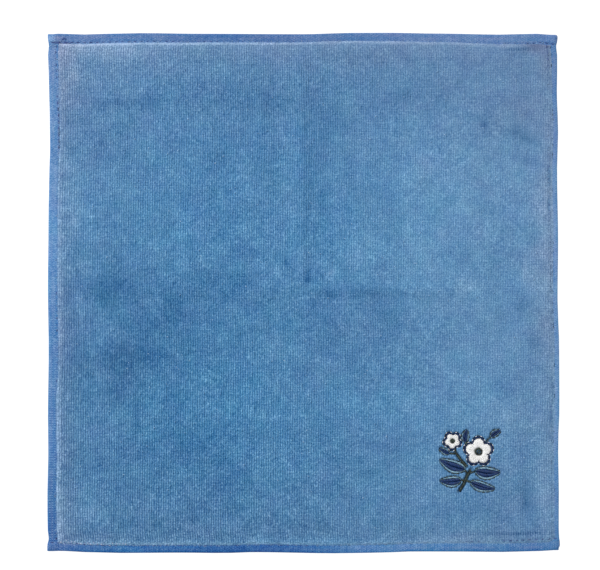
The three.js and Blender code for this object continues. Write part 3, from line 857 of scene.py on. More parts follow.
def cloth_height(x, y, face):
    """Height of the front or the back of the ground cloth, with its hems and corner tabs."""
    fold, valley, ground, lap = face
    insides = distances(x, y)
    seams = along_edges(SEAMS, x, y)
    hems = [hem_height(inside, seam, y if side < 2 else x, PUCKER[side], fold, valley, ground)
            for side, (inside, seam) in enumerate(zip(insides, seams))]
    left, right, near, far = insides
    side = np.where(left < right, hems[0], hems[1])
    end = np.where(near < far, hems[2], hems[3])
    inside_side = np.minimum(left, right)
    inside_end = np.minimum(near, far)
    past_seam = np.where(near < far, near - seams[2], far - seams[3])
    lapped = 1 - smooth_step(-LAP_STEP, 0.0, past_seam)
    fold_only = np.where(inside_side < SIDE_FOLD, side, end)
    side = side * (1 - lapped) + fold_only * lapped
    at_side = inside_side < SIDE_ZONE
    at_end = inside_end < np.maximum(seams[2], seams[3]) + END_ZONE
    both = np.minimum(side, end) if ground == GROUND_TOP else np.maximum(side, end)
    height = np.where(at_side, side, ground)
    height = np.where(at_end, np.where(at_side, both, end), height)
    tab = 1 - smooth_step(TAB_FROM, TAB_TO, inside_side)
    rim = smooth_step(0, RIM, np.minimum(inside_side, inside_end))
    return height + lap * lapped * tab * rim


for name, table in zip(("left", "right", "near", "far"), SEAMS):
    widths = [width for _, width in table]
    print(name, "row of stitches, mm inside the edge:", min(widths), "to", max(widths))


# %% [markdown]
# The ground cloth and its four hems are one closed mesh. Its grid is fine across each hem and
# along the stitches, and coarse under the pile, where nothing of it shows. The strips at the
# two ends need finer columns than the middle has, so one row of many-sided faces joins them.

# %% The ground cloth with its hems
HEM_LINES = [0, 0.05, 0.15, 0.4, 0.9, 1.4, 1.9, 2.4, 2.8, 3.1, 3.4, 3.7, 4.0, 4.3, 4.6, 5.0, 5.5,
             6.2, 8.0]
STEP_ALONG = STITCH / 4
COARSE_EVERY = 7

hem_lines = np.array(HEM_LINES)
hem_depth = hem_lines[-1]
fine_count = COARSE_EVERY * round((WIDTH - 2 * hem_depth) / STEP_ALONG / COARSE_EVERY)
fine_x = np.linspace(-WIDTH / 2 + hem_depth, WIDTH / 2 - hem_depth, fine_count + 1)
side_low = -WIDTH / 2 + hem_lines[:-1]
side_high = -side_low[::-1]
end_columns = np.concatenate([side_low, fine_x, side_high])
main_columns = np.concatenate([side_low, fine_x[::COARSE_EVERY], side_high])
row_count = round((LENGTH - 2 * hem_depth) / STEP_ALONG)
main_rows = np.linspace(-LENGTH / 2 + hem_depth, LENGTH / 2 - hem_depth, row_count + 1)[1:-1]
near_rows = -LENGTH / 2 + hem_lines
far_rows = -near_rows[::-1]


def grid_faces(first, columns, rows):
    """Quads of a grid whose points are numbered row by row from first on."""
    index = first + np.arange(columns * rows).reshape(rows, columns)
    quads = [index[:-1, :-1], index[:-1, 1:], index[1:, 1:], index[1:, :-1]]
    return np.stack([q.ravel() for q in quads], axis=1).tolist(), index


def joining_faces(fine, coarse, fine_below):
    """Many-sided faces between a row of fine columns and a row of coarse ones."""
    faces = []
    place = 0
    for i in range(len(coarse) - 1):
        on_edge = i < len(side_low) or i >= len(coarse) - 1 - len(side_high)
        step = 1 if on_edge else COARSE_EVERY
        run = fine[place:place + step + 1].tolist()
        place += step
        pair = [int(coarse[i + 1]), int(coarse[i])]
        faces.append(run + pair if fine_below else run[::-1] + pair[::-1])
    return faces


def cloth_face(face):
    """Points, faces and plain places of one face of the ground cloth, seen from above."""
    points, faces, plain, rows = [], [], [], []
    for columns, lines in ((end_columns, near_rows), (main_columns, main_rows),
                           (end_columns, far_rows)):
        quads, index = grid_faces(len(points), len(columns), len(lines))
        x, y = np.meshgrid(columns, lines)
        height = cloth_height(x, y, face)
        px, py = placed(x, y)
        points.extend(np.stack([px.ravel(), py.ravel(), height.ravel()], axis=1).tolist())
        plain.extend(np.stack([x.ravel(), y.ravel()], axis=1).tolist())
        faces.extend(quads)
        rows.append(index)
    faces.extend(joining_faces(rows[0][-1], rows[1][0], True))
    faces.extend(joining_faces(rows[2][0], rows[1][-1], False))
    return points, faces, plain


front_points, front_faces, front_plain = cloth_face(FRONT)
back_points, back_faces, back_plain = cloth_face(BACK)
back_faces = [[i + len(front_points) for i in reversed(face)] for face in back_faces]
print("points of the front:", len(front_points), "of the back:", len(back_points))

# %% [markdown]
# The band's blue isn't the same all round. It is deepest along the left half of the near hem
# and palest on the right. Painted shade makes the near fold deeper still and lies where the
# stitches draw the cloth down, and painted light makes the left fold paler at its edge. A
# greyer yarn runs along the middle of each band. All this depends on the place along the hem,
# so it is kept in short tables, one for each side.

# %% Blues along the hems
TONE = [
    # pairs of place along the hem and place on the ramp
    [(-122, 0.38), (-106, 0.41), (-83, 0.55), (-60, 0.61), (-38, 0.61), (-12, 0.64), (15, 0.72),
     (48, 0.76), (70, 0.68), (122, 0.68)],
    [(-122, 0.66), (-107, 0.69), (-80, 0.75), (-12, 0.76), (20, 0.79), (50, 0.75), (87, 0.71),
     (116, 0.62)],
    [(-118, 0.51), (-100, 0.46), (-74, 0.38), (-45, 0.29), (-15, 0.32), (10, 0.49), (27, 0.64),
     (44, 0.69), (73, 0.66), (104, 0.59)],
    [(-122, 0.78), (-115, 0.61), (-96, 0.57), (-69, 0.55), (-45, 0.44), (-15, 0.51), (14, 0.56),
     (44, 0.65), (98, 0.71), (114, 0.65)],
]
SPECKLED = [
    # how strong the grain shows
    [(0, 1.0)],
    [(-125, 0.9), (0, 0.8), (60, 0.6), (125, 0.7)],
    [(-125, 1.4), (0, 1.1), (125, 0.9)],
    [(-125, 1.0), (0, 0.95), (60, 0.75), (125, 0.7)],
]
BARRED = [
    # how strong the checks show
    [(-125, 2.4), (-92, 2.3), (-72, 1.9), (-40, 1.7), (-10, 1.1), (30, 0.65), (125, 0.5)],
    [(0, 0.4)],
    [(0, 1.0)],
    [(0, 0.6)],
]
# painted light that makes the fold paler and greyer at the very edge, and painted shade under 0
# that makes it deeper and bluer: light on the left fold, which faces the light, shade on the near
# fold, which faces away, and a little on the far one
EDGE_LIGHT_AND_SHADE = [[(-125, 0.13), (-20, 0.1), (60, 0)], [(0, 0)], [(0, -0.4)], [(0, -0.08)]]
EDGE_CAST = [[(0, 0)], [(0, -0.5)], [(0, -1.3)], [(0, 0.3)]]
SEAM_SHADE = [
    # painted shade where the stitches draw the cloth down into a valley
    [(-27, 0), (-24, 0.04), (1, 0.04), (4, 0), (68, 0), (73, 0.15), (86, 0.15), (90, 0)],
    [(-117, 0.04), (-66, 0.04), (-64, 0.18), (-56, 0.18), (-53, 0.04), (-28, 0.04), (-25, 0.06),
     (2, 0.06), (33, 0.04), (37, 0.09), (65, 0.09), (69, 0), (105, 0), (108, 0.13), (122, 0.13)],
    [(-100, 0), (-95, 0.05), (-30, 0.05), (60, 0), (90, 0.06)],
    [(-125, 0.14), (-110, 0.12), (-100, 0), (85, 0), (100, 0.1), (118, 0.15)],
]
BAND_CAST = [
    # the cast, as for the pile
    [(-122, 0.6), (-106, 0.5), (-77, 0.3), (0, 0.25), (15, 0.05), (35, 0.1), (50, 0.3), (70, 0.4),
     (122, 0.6)],
    [(-125, 0.3), (-60, 0.2), (41, 0.3), (57, 0.25), (80, 0.5), (125, 0.7)],
    [(-118, 0.7), (-83, 0.1), (-45, 0.3), (-15, 0.4), (27, 0.15), (54, 0.2), (68, 0.1),
     (109, 0.4)],
    [(-120, 0.9), (-96, 0.75), (-83, 0.75), (-28, 0.9), (44, 0.85), (109, 0.8)],
]
# 1 on the end hems, whose bars run the other way
END = [[(0, 0)], [(0, 0)], [(0, 1)], [(0, 1)]]
SEAM_SPREAD = 0.45
EDGE_LIGHT_AND_SHADE_REACH = 0.8
EDGE_CAST_REACH = 0.35
GREY_YARN_IN = 1.9
GREY_YARN_REACH = 0.5
GREY_YARN_CAST = 0.22
BAND_CAST_SHIFT = -0.06
END_OVER_SIDE = 0.1
BAND_TONE_PATCHES = [
    # columns as for the patches of the nap
    (-117, 124.6, 1.3, 0.7, -0.35, -30), (-118.5, 126.3, 3, 0.5, -0.2), (-123, 124.5, 3, 2, 0.08),
]
BAND_CAST_PATCHES = [
    (-118, 124.6, 3.5, 2.0, 0.7), (-123.5, 125, 2.5, 2.5, -0.5),
]


def hem_place(x, y):
    """Which hem a point lies in, how far inside its edge and its seam, and where along it.
    The end hems lie over the side ones."""
    inside = np.stack(distances(x, y))
    from_seam = inside - np.stack(along_edges(SEAMS, x, y))
    side = np.where(inside[0] < inside[1], 0, 1)
    end = np.where(inside[2] < inside[3], 2, 3)
    at_end = np.minimum(from_seam[2], from_seam[3]) < END_OVER_SIDE
    hem = np.where(at_end, end, side)
    column = np.arange(len(hem))
    return hem, inside[hem, column], from_seam[hem, column], np.where(at_end, x, y)


def along_hems(tables, hem, along):
    """Reads each hem's own table at a place along it."""
    return np.choose(hem, [table_value(table, along) for table in tables])


def cloth_values(plain):
    """What the band's material needs to know at each point."""
    x, y = np.array(plain).T
    hem, inside, from_seam, along = hem_place(x, y)
    tone_and_shading = along_hems(TONE, hem, along) + patch_sum(x, y, BAND_TONE_PATCHES)
    # painted light and shade at the very edge of each fold
    tone_and_shading = tone_and_shading + along_hems(EDGE_LIGHT_AND_SHADE, hem, along) * np.exp(-inside / EDGE_LIGHT_AND_SHADE_REACH)
    # painted shade where the stitches draw the cloth down
    painted_seam_shade = np.exp(-(from_seam / SEAM_SPREAD) ** 2)
    grey_yarn = np.exp(-((inside - GREY_YARN_IN) / GREY_YARN_REACH) ** 2)
    worn = along_hems(BAND_CAST, hem, along) + GREY_YARN_CAST * grey_yarn + BAND_CAST_SHIFT
    worn = worn + along_hems(EDGE_CAST, hem, along) * np.exp(-inside / EDGE_CAST_REACH)
    return {
        "tone_and_shading": tone_and_shading - along_hems(SEAM_SHADE, hem, along) * painted_seam_shade,
        "cast": worn + patch_sum(x, y, BAND_CAST_PATCHES),
        "barred": along_hems(BARRED, hem, along),
        "speckled": along_hems(SPECKLED, hem, along),
        "end": along_hems(END, hem, along),
    }


print("places along the hems:", sum(len(table) for table in TONE))

# %% [markdown]
# Front and back are joined in one mesh. Their outermost points lie in the same place, so
# points that meet are merged, which closes the cloth all round.

# %% The ground cloth, welded
WELD = 0.001
cloth = mesh_object("towel_cloth", np.array(front_points + back_points),
                    front_faces + back_faces, band, cloth_values(front_plain + back_plain))

welded = bmesh.new()
welded.from_mesh(cloth.data)
bmesh.ops.remove_doubles(welded, verts=welded.verts, dist=WELD * MM)
open_edges = sum(1 for edge in welded.edges if not edge.is_manifold)
welded.to_mesh(cloth.data)
welded.free()
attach(cloth, "root")
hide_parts("towel")
print("ground cloth points:", len(cloth.data.vertices), "open edges:", open_edges)

# %% [markdown]
# The pile is drawn as one ribbed surface and not as single tufts. There would be ninety
# thousand of those, each less than a pixel wide. It ends beside each hem in a soft lip, whose
# fibres stand up and look pale where the cut edge of the pile shows; on the near side, whose lip
# faces away from the light, that paleness is partly painted light. Tables by edge say where it
# starts, how its lip rises, and how much of that fluff and painted light there is.

# %% Where the pile starts and how its lip rises
PILE_FROM = [
    # pairs of place along the edge and how far inside it the pile starts
    [(-122, 4.65), (-105, 4.55), (-92, 4.35), (-80, 4.35), (-66, 4.1), (-52, 4.15), (-38, 4.8),
     (-12, 4.95), (12, 4.65), (28, 4.6), (36, 4.35), (62, 4.35), (72, 4.9), (88, 4.9), (105, 5.1),
     (122, 5.0)],
    [(-122, 2.2), (-60, 2.4), (100, 2.4), (122, 3.0)],
    [(-125, 3.75), (-80, 3.85), (-45, 3.9), (-15, 4.0), (15, 4.05), (32, 4.0), (57, 3.95),
     (75, 4.15), (125, 4.2)],
    [(-125, 4.9), (-112, 4.9), (-100, 4.8), (-72, 4.7), (-58, 4.5), (-45, 4.3), (-15, 4.25),
     (14, 3.95), (44, 4.25), (73, 4.3), (98, 4.8), (116, 5.1), (125, 5.2)],
]
# how far the start is uneven, from tuft to tuft
RAGGED = [0.45, 0.4, 0.4, 0.25]
EDGE_FLUFF_AND_LIGHT = [
    # lift of the nap along the edge of the pile, pale fluff that on the near side is partly
    # painted light, and how grey it is there, how far in it stays the same and in what distance it
    # then dies out
    ([(-122, 0.85), (-107, 1.0), (-83, 1.1), (-60, 1.25), (-38, 0.8), (-12, 0.6), (15, 0.85),
      (48, 0.5), (75, 0.35), (119, 0.3)], 0.2, 1.5, 1.4),
    ([(-122, 0.5), (122, 0.5)], 0.1, 0.2, 1.0),
    ([(-118, 1.5), (-100, 2.0), (-74, 1.4), (-45, 1.15), (-15, 1.05), (14, 0.85), (44, 1.15),
      (73, 0.85), (104, 0.5)], 0.0, 0.9, 0.9),
    ([(-115, 0.9), (-96, 1.2), (-45, 1.1), (-15, 1.0), (44, 0.9), (73, 0.75), (98, 0.4),
      (114, 0.1)], 0.35, 0.9, 0.45),
]
FLUFF_UNEVEN = 0.2
STEEP_LIP = [(0, 1.97), (0.25, 2.3), (0.6, 2.6), (1.2, 3.2)]
LIP = [
    # pairs of distance inside the pile's start and the most height it can have there
    STEEP_LIP,
    [(0, 2.0), (0.6, 2.15), (1.3, 2.35), (2.2, 2.55), (3.0, 3.2)],
    [(0, 1.99), (0.4, 2.2), (0.9, 2.5), (1.4, 2.7), (2.0, 3.2)],
    STEEP_LIP,
]
OUTER_PILE = 2.5
SWOLLEN = [(0, 2.5), (0.6, 2.75), (1.3, 2.92), (2.0, 2.96), (3.2, 2.82), (5.5, 2.7)]
INNER_PILE = [
    # pairs of distance past the seam and height, which swells where the pile rolls up to it
    SWOLLEN,
    [(0, 2.5), (1.5, 2.6), (3.5, 2.7)],
    [(0, 2.5), (0.8, 2.68), (2.0, 2.78), (4.0, 2.7)],
    SWOLLEN,
]
ABOVE_ALL = 9.0


def pile_lip(x, y):
    """Plain height of the pile, and how far each point lies from the pile's four edges."""
    height = np.full(x.shape, ABOVE_ALL)
    insides = []
    for inside, start, seam, lip, inner in zip(distances(x, y), along_edges(PILE_FROM, x, y),
                                               along_edges(SEAMS, x, y), LIP, INNER_PILE):
        pile = np.where(inside < seam, OUTER_PILE, table_value(inner, inside - seam))
        height = np.minimum(height, np.minimum(pile, table_value(lip, inside - start)))
        insides.append(inside - start)
    return height, insides


print("pile height, plain, mm:", pile_lip(np.zeros(1), np.zeros(1))[0][0])

# %% [markdown]
# The pile stands in ribs 1.163 mm apart, one to each warp of loops. A rib is four columns of
# points: valley, flank, crest, flank. Rows follow at about the spacing of the tufts. The ribs
# stand out most at the left and the near side, where the pile is less brushed, and there the
# grain is stronger as well.

# %% Ribs, and how strong they and the grain are
RIB = 1.163
RIB_COLUMNS = 4
RIB_PROFILE = np.array([-1.0, 0.35, 1.0, 0.35])
# painted shade in the valley and painted highlight on the crest, as places on the ramp
RIB_SHADE = np.array([0.0, 0.62, 1.0, 0.62])
ROW_STEP = 1.15
END_ROWS = np.array([0, 0.25, 0.55, 0.9, 1.35, 1.9, 2.5, 3.1, 3.7, 4.3, 4.9, 5.5, 6.2])
SMOOTH_FAR = 0.35


def rib_strength(x, y):
    """Ribs stand out more at the left and near side, where the pile is less brushed, and
    less beside the far hem."""
    right = smooth_step(-35, 105, x)
    near = smooth_step(-20, 110, -y)
    left = 1 - smooth_step(-90, 90, x)
    strength = 1.42 - (0.76 - 0.2 * near) * right + 0.4 * near * left
    return strength * (1 - SMOOTH_FAR * smooth_step(-13, -5, y - LENGTH / 2))


def texture_strengths(x, y, ribs):
    """How strong the single tufts show, and how strong the clumps that they lie in. Both are
    weaker where the ribs are, tufts are sharpest in the middle, clumps faint at the far left."""
    plain = 0.55 + 0.32 * ribs
    sharp = smooth_step(-110, -40, x) * smooth_step(-90, -20, -y)
    faint = smooth_step(20, 90, y) * (1 - smooth_step(-20, 70, x))
    return plain * (1 + 0.2 * sharp), 0.92 * plain * (1 - 0.2 * faint)


def pile_rows(low, high, fine_from, fine_to):
    """Rows across the ribs, closer at both ends and where the embroidery presses the pile."""
    deep = END_ROWS[-1]
    middle_rows = np.arange(low + deep + ROW_STEP, high - deep - ROW_STEP / 2, ROW_STEP)
    outside = (middle_rows < fine_from) | (middle_rows > fine_to)
    fine = np.arange(fine_from, fine_to, ROW_STEP / 2)
    middle_rows = np.sort(np.concatenate([middle_rows[outside], fine]))
    return np.concatenate([low + END_ROWS, middle_rows, high - END_ROWS[::-1]])


print("ribs stand out at the middle of the towel:",
      round(float(rib_strength(np.zeros(1), np.zeros(1))[0]), 2))


# %% [markdown]
# The embroidery is a small spray of leaves with two blossoms. Its stitches hold the pile
# down, so the pile needs the spray's shape before it can be made. Leaves are given by their
# two tips, width and bow, blossoms by centre and radius, stems by a few points, as in the
# solids, all in mm from the middle of the spray.

# %% The spray's shapes
LEAF_TIP = 0.45
OUTLINE = 0.7
PETALS = 5
PETAL_DEPTH = 0.34
CENTRE_SHARE = 0.27
STEM_WIDTH = 1.4
LEAVES = [
    # x1, y1, x2, y2, width, bow
    (-2.2, -4.4, -14.8, 0.4, 6.2, 0.8),
    (2.4, -5.2, 14.8, -5.8, 6.2, -0.8),
    (-4.2, -9.6, -14.6, -10.0, 5.4, 0.7),
    (0.2, -10.6, 12.2, -14.0, 5.0, -0.7),
    (-2.5, 8.8, -1.6, 15.0, 3.8, 0.3),
    (10.2, 11.6, 14.9, 14.8, 3.4, 0.3),
    (-9.9, 3.5, -14.9, 6.0, 3.0, 0.3),
]
BLOSSOMS = [
    # name, x, y, radius, turn in degrees
    ("large", 4.2, 4.4, 6.8, 18),
    ("small", -8.6, 9.6, 4.0, 50),
]
STEMS = [
    [(-5.2, -15.0), (-3.0, -11.5), (-1.4, -7.6), (0.6, -4.4)],
    [(-1.6, -2.8), (-4.4, 0.2), (-6.8, 3.6)],
]
STALK_WIDTH = 0.7
FAR_OFF = 99.0
STALKS = [
    # from a stem or a blossom to the foot of a leaf or a blossom
    [(-1.0, -6.6), (-2.6, -4.6)],
    [(-0.6, -6.2), (2.6, -5.3)],
    [(-2.4, -9.8), (-4.4, -9.6)],
    [(-2.2, -9.6), (0.4, -10.6)],
    [(-6.8, 3.4), (-10.1, 3.5)],
    [(-6.8, 3.4), (-7.7, 6.2)],
    [(-1.2, 7.4), (-2.4, 9.2)],
    [(8.3, 9.6), (10.4, 11.7)],
]
SPRAY_AT = SPRAY + SHIFT


def leaf_frame(leaf):
    """Length, start, direction and side direction of a leaf."""
    start = np.array(leaf[:2])
    run = np.array(leaf[2:4]) - start
    length = np.hypot(*run)
    ahead = run / length
    return length, start, ahead, np.array([-ahead[1], ahead[0]])


def leaf_half_width(leaf, t):
    """Half width of a leaf at a share t of its length."""
    swell = np.sin(math.pi * np.clip(t, 0, 1) ** 0.8) ** 0.85
    return (leaf[4] / 2 - LEAF_TIP) * swell + LEAF_TIP


def leaf_point(leaf, t, across):
    """A point of a leaf: t along it, across in mm to the side of its bowed middle."""
    length, start, ahead, side = leaf_frame(leaf)
    t = np.asarray(t, float)
    offset = across + leaf[5] * np.sin(math.pi * t)
    return start + np.multiply.outer(t * length, ahead) + np.multiply.outer(offset, side)


def petal_reach(radius, turn, angle):
    """Radius of a blossom's edge at an angle in radians."""
    lobes = np.abs(np.cos(PETALS / 2 * (angle - math.radians(turn)))) ** 0.75
    return radius * (1 - PETAL_DEPTH * (1 - lobes))


def spray_distance(x, y):
    """Distance in mm outside the nearest stitched shape, under 0 inside it."""
    x = x - SPRAY_AT[0]
    y = y - SPRAY_AT[1]
    nearest = np.full(x.shape, FAR_OFF)
    for leaf in LEAVES:
        length, start, ahead, side = leaf_frame(leaf)
        along = ((x - start[0]) * ahead[0] + (y - start[1]) * ahead[1]) / length
        across = (x - start[0]) * side[0] + (y - start[1]) * side[1]
        across = across - leaf[5] * np.sin(math.pi * np.clip(along, 0, 1))
        beyond = np.maximum(np.maximum(-along, along - 1), 0) * length
        sideways = np.abs(across) - leaf_half_width(leaf, along)
        nearest = np.minimum(nearest, np.where(beyond > 0, np.hypot(beyond, across), sideways))
    for _, cx, cy, radius, turn in BLOSSOMS:
        angle = np.arctan2(y - cy, x - cx)
        nearest = np.minimum(nearest, np.hypot(x - cx, y - cy)
                             - petal_reach(radius, turn, angle) - OUTLINE)
    for points, width in [(s, STEM_WIDTH) for s in STEMS] + [(s, STALK_WIDTH) for s in STALKS]:
        for (x1, y1), (x2, y2) in zip(points, points[1:]):
            nearest = np.minimum(nearest, segment_distance(x, y, x1, y1, x2, y2) - width / 2)
    return nearest


print("leaves:", len(LEAVES), "blossoms:", len(BLOSSOMS), "stems:", len(STEMS))

# %% [markdown]
# The face is one grid of points, worked out whole. The outermost ones are moved to where the
# pile starts along each hem, give or take a tuft. Every other one is nudged a little, because
# no two tufts are cut or lean quite alike, and each rib wanders a bit from row to row.

# %% Grid of the pile face
GRID_FROM = (4.65, 2.4, 3.75, 4.9)
SPRAY_HALF = 17.0
NUDGE_ALONG = 0.3
NUDGE_ACROSS = 0.035
WANDER = 0.08
WANDER_ROUNDS = 3
UNEVEN = (-0.4, 0.6)
ROLL = 7
SHIFT_REACH = 0.8

pile_x = (-WIDTH / 2 + GRID_FROM[0], WIDTH / 2 - GRID_FROM[1])
pile_y = (-LENGTH / 2 + GRID_FROM[2], LENGTH / 2 - GRID_FROM[3])
rib_count = round((pile_x[1] - pile_x[0]) / RIB)
column_x = np.linspace(*pile_x, rib_count * RIB_COLUMNS + 1)
row_y = pile_rows(*pile_y, SPRAY[1] - SPRAY_HALF, SPRAY[1] + SPRAY_HALF)
print("ribs:", rib_count, "rows:", len(row_y))

plain_x, plain_y = np.meshgrid(column_x, row_y)
phase = np.arange(len(column_x)) % RIB_COLUMNS
rib_of = np.arange(len(column_x)) // RIB_COLUMNS
tuft_grid = (len(row_y), rib_count + 1)
inner = np.zeros(plain_x.shape)
inner[1:-1, 1:-1] = 1
row_gap = np.gradient(row_y)[:, None]
bent_y = plain_y + inner * row_gap * rng.uniform(-NUDGE_ALONG, NUDGE_ALONG, plain_x.shape)
bent_x = plain_x + inner * rng.normal(0, NUDGE_ACROSS, plain_x.shape)
wander = rng.normal(0, 1, tuft_grid)
for _ in range(WANDER_ROUNDS):
    wander[1:-1] = (wander[:-2] + 2 * wander[1:-1] + wander[2:]) / 4
bent_x = bent_x + inner * WANDER * wander[:, rib_of]
tuft = rng.normal(0, 1, tuft_grid)[:, rib_of]
fine = rng.normal(0, 1, plain_x.shape)
by_row = rng.uniform(*UNEVEN, (len(row_y), 1))
by_column = rng.uniform(*UNEVEN, (1, len(column_x)))
uneven = (by_row, np.roll(by_row, ROLL), by_column, np.roll(by_column, ROLL))
starts = along_edges(PILE_FROM, plain_x, bent_y)


def edge_shift(side, at):
    """How far points beside one edge of the grid move to where the pile starts there."""
    axis, sign, _ = EDGES[side]
    edge = sign * ((WIDTH, LENGTH)[axis] / 2 - GRID_FROM[side])
    outward = GRID_FROM[side] - starts[side] + RAGGED[side] * uneven[side]
    return sign * outward * np.exp(-np.abs(at - edge) / SHIFT_REACH)


bent_x = bent_x + edge_shift(0, plain_x) + edge_shift(1, plain_x)
bent_y = bent_y + edge_shift(2, bent_y) + edge_shift(3, bent_y)

# %% [markdown]
# The height of each point adds up from the plain pile with its lip, the creases and waves,
# the ribs, and a little chance. Under the stitches of the spray the pile is pressed flat, and
# it rises again round them within less than a millimetre.

# %% Height of the pile face
RIDGE = 0.13
RIDGE_FROM = (0.2, 2.5)
RELIEF_FROM = (0.0, 3.0)
TUFT_HEIGHT = 0.03
PRESSED_TO = 1.75
PRESSED_CHANCE = 0.1
PRESS_UNDER = -0.1
PRESS_REACH = 0.7


def facing(px, py, height):
    """Which way each point of a grid surface faces."""
    surface = np.stack([px, py, height], axis=2)
    across = np.gradient(surface, axis=1)
    along = np.gradient(surface, axis=0)
    normal = np.cross(across, along)
    return normal / np.linalg.norm(normal, axis=2, keepdims=True)


strength = rib_strength(plain_x, plain_y)
pile_z, insides = pile_lip(bent_x, bent_y)
from_edge = np.minimum.reduce(insides)
ridge = RIDGE * strength * RIB_PROFILE[phase] * smooth_step(*RIDGE_FROM, from_edge)
pile_z = pile_z + relief(plain_x, bent_y) * smooth_step(*RELIEF_FROM, from_edge) + ridge
pile_z = pile_z + inner * TUFT_HEIGHT * (tuft + fine)
pile_px, pile_py = placed(bent_x, bent_y)
outside = spray_distance(pile_px, pile_py)
pressed = PRESSED_TO + PRESSED_CHANCE * fine
rising = pressed + (pile_z - pressed) * smooth_step(PRESS_UNDER, PRESS_REACH, outside)
pile_z = np.where(outside < PRESS_REACH * 2, rising, pile_z)
pile_normals = facing(pile_px, pile_py, pile_z)
print("pile height, mm:", round(float(pile_z.min()), 2), "to", round(float(pile_z.max()), 2))

# %% [markdown]
# The material reads five values at each point: the painted shade and highlight of the rib, the
# nap with its painted shading, the cast, and how strong the grain and the clumps are. Ribs fade
# into the brushed edge of the pile, except on the left. The dents add painted shade to the nap.
# The fluff along the edges lifts the nap and greys it, and on the near lip, which faces away
# from the light, the lift is partly painted light. Where the stitches run in the pile they add
# painted shade to it.

# %% Shade of the pile face
BRUSHED_FROM = (0.2, 2.2)
RIB_AT_EDGE = 0.35
TUFT_SHADE = 0.16
POINT_SHADE = 0.2
DENT_SHADE_IN_VALLEY = 2.4
DENT_SHADE_ELSEWHERE = 0.7

brushed = smooth_step(*BRUSHED_FROM, np.minimum.reduce(insides[1:]))
# painted shade in the rib valleys and painted highlight on the crests
rib_shade = RIB_SHADE[phase] - 0.5 + TUFT_SHADE * tuft + POINT_SHADE * fine
rib_shade = 0.5 + rib_shade * strength * (RIB_AT_EDGE + (1 - RIB_AT_EDGE) * brushed)
lean_and_shading = nap_and_shading(pile_px - SHIFT[0], pile_py - SHIFT[1])
worn = cast(pile_px - SHIFT[0], pile_py - SHIFT[1], lean_and_shading)
# painted shade of the dents, deepest in the rib valleys
dent_shade_share = np.where(phase == 0, DENT_SHADE_IN_VALLEY, DENT_SHADE_ELSEWHERE)
lean_and_shading = lean_and_shading + patch_sum(plain_x, bent_y, DENT_SHADES) * dent_shade_share
fluff_and_light = np.zeros(plain_x.shape)
to_seams = zip(distances(bent_x, bent_y), along_edges(SEAMS, bent_x, bent_y))
for side, (inside, seam) in enumerate(to_seams):
    table, grey, flat, reach = EDGE_FLUFF_AND_LIGHT[side]
    along = bent_y if side < 2 else plain_x
    fade = np.exp(-np.clip(insides[side] - flat, 0, None) / reach)
    fluff_and_light = np.maximum(fluff_and_light, table_value(table, along) * fade)
    worn = worn + grey * fade
    # painted shade where the stitches run in the pile
    shade = table_value(SEAM_SHADE[side], along) / NAP_SHARE
    lean_and_shading = lean_and_shading - shade * np.exp(-((inside - seam) / SEAM_SPREAD) ** 2)
# pale fluff, and on the near lip partly painted light
lean_and_shading = lean_and_shading + fluff_and_light * (1 + FLUFF_UNEVEN * (tuft + fine))
grainy, clumped = texture_strengths(plain_x, bent_y, strength)
pile_values = {"rib_light_and_shade": rib_shade, "nap_and_shading": lean_and_shading, "cast": worn, "grainy": grainy,
               "clumped": clumped}
print("nap from", round(float(lean_and_shading.min()), 2), "to", round(float(lean_and_shading.max()), 2))

# %% [markdown]
# One mesh of the whole face would be too heavy to handle, so it is made as four strips that
# meet in valleys. Each is closed underneath, where it sits on the ground cloth. They share the
# way their common points face, so that no joint shows.

# %% The ribbed pile face
PILE_STRIPS = 4
PILE_FOOT = 1.2
strip_ends = [RIB_COLUMNS * round(rib_count * k / PILE_STRIPS) for k in range(PILE_STRIPS + 1)]


def closed_strip(px, py, top, foot):
    """Points and faces of a grid surface closed below by a foot at one height."""
    rows, columns = px.shape
    points = np.stack([px.ravel(), py.ravel(), top.ravel()], axis=1)
    faces, index = grid_faces(0, columns, rows)
    foot_points = np.stack([
        np.concatenate([px[0], px[-1]]), np.concatenate([py[0], py[-1]]),
        np.full(2 * columns, foot),
    ], axis=1)
    near = len(points) + np.arange(columns)
    far = near + columns
    for i in range(columns - 1):
        faces.append([int(near[i + 1]), int(near[i]), int(far[i]), int(far[i + 1])])
        faces.append([int(index[0, i + 1]), int(index[0, i]), int(near[i]), int(near[i + 1])])
        faces.append([int(index[-1, i]), int(index[-1, i + 1]), int(far[i + 1]), int(far[i])])
    faces.append([int(near[0])] + index[:, 0].tolist() + [int(far[0])])
    faces.append([int(far[-1])] + index[::-1, -1].tolist() + [int(near[-1])])
    return np.concatenate([points, foot_points]), faces


def padded(values, spare):
    """Values of a grid as flat lists, with zeros for the points of its foot."""
    return {key: np.concatenate([v.ravel(), np.zeros(spare)]) for key, v in values.items()}


pile_pieces = []
for number in range(PILE_STRIPS):
    part = slice(strip_ends[number], strip_ends[number + 1] + 1)
    points, faces = closed_strip(pile_px[:, part], pile_py[:, part], pile_z[:, part], PILE_FOOT)
    spare = len(points) - pile_z[:, part].size
    values = padded({key: v[:, part] for key, v in pile_values.items()}, spare)
    down = np.tile([[0.0, 0.0, -1.0]], (spare, 1))
    normals = np.concatenate([pile_normals[:, part].reshape(-1, 3), down])
    piece = mesh_object(f"pile_face_{number + 1}", points, faces, velour, values, normals)
    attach(piece, "root")
    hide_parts("towel")
    pile_pieces.append(piece)
print("pile strips, points:", [len(piece.data.vertices) for piece in pile_pieces])

# %% [markdown]
# The back keeps its loops: terry, uncut and a little deeper in colour. No photo shows it, so
# it is made plainly. A loop is drawn 1.4 mm wide and stands at every second point of the grid,
# in rows that step sideways in turn. The loops fill the back inside the hems and almost reach
# the surface that the towel lies on.

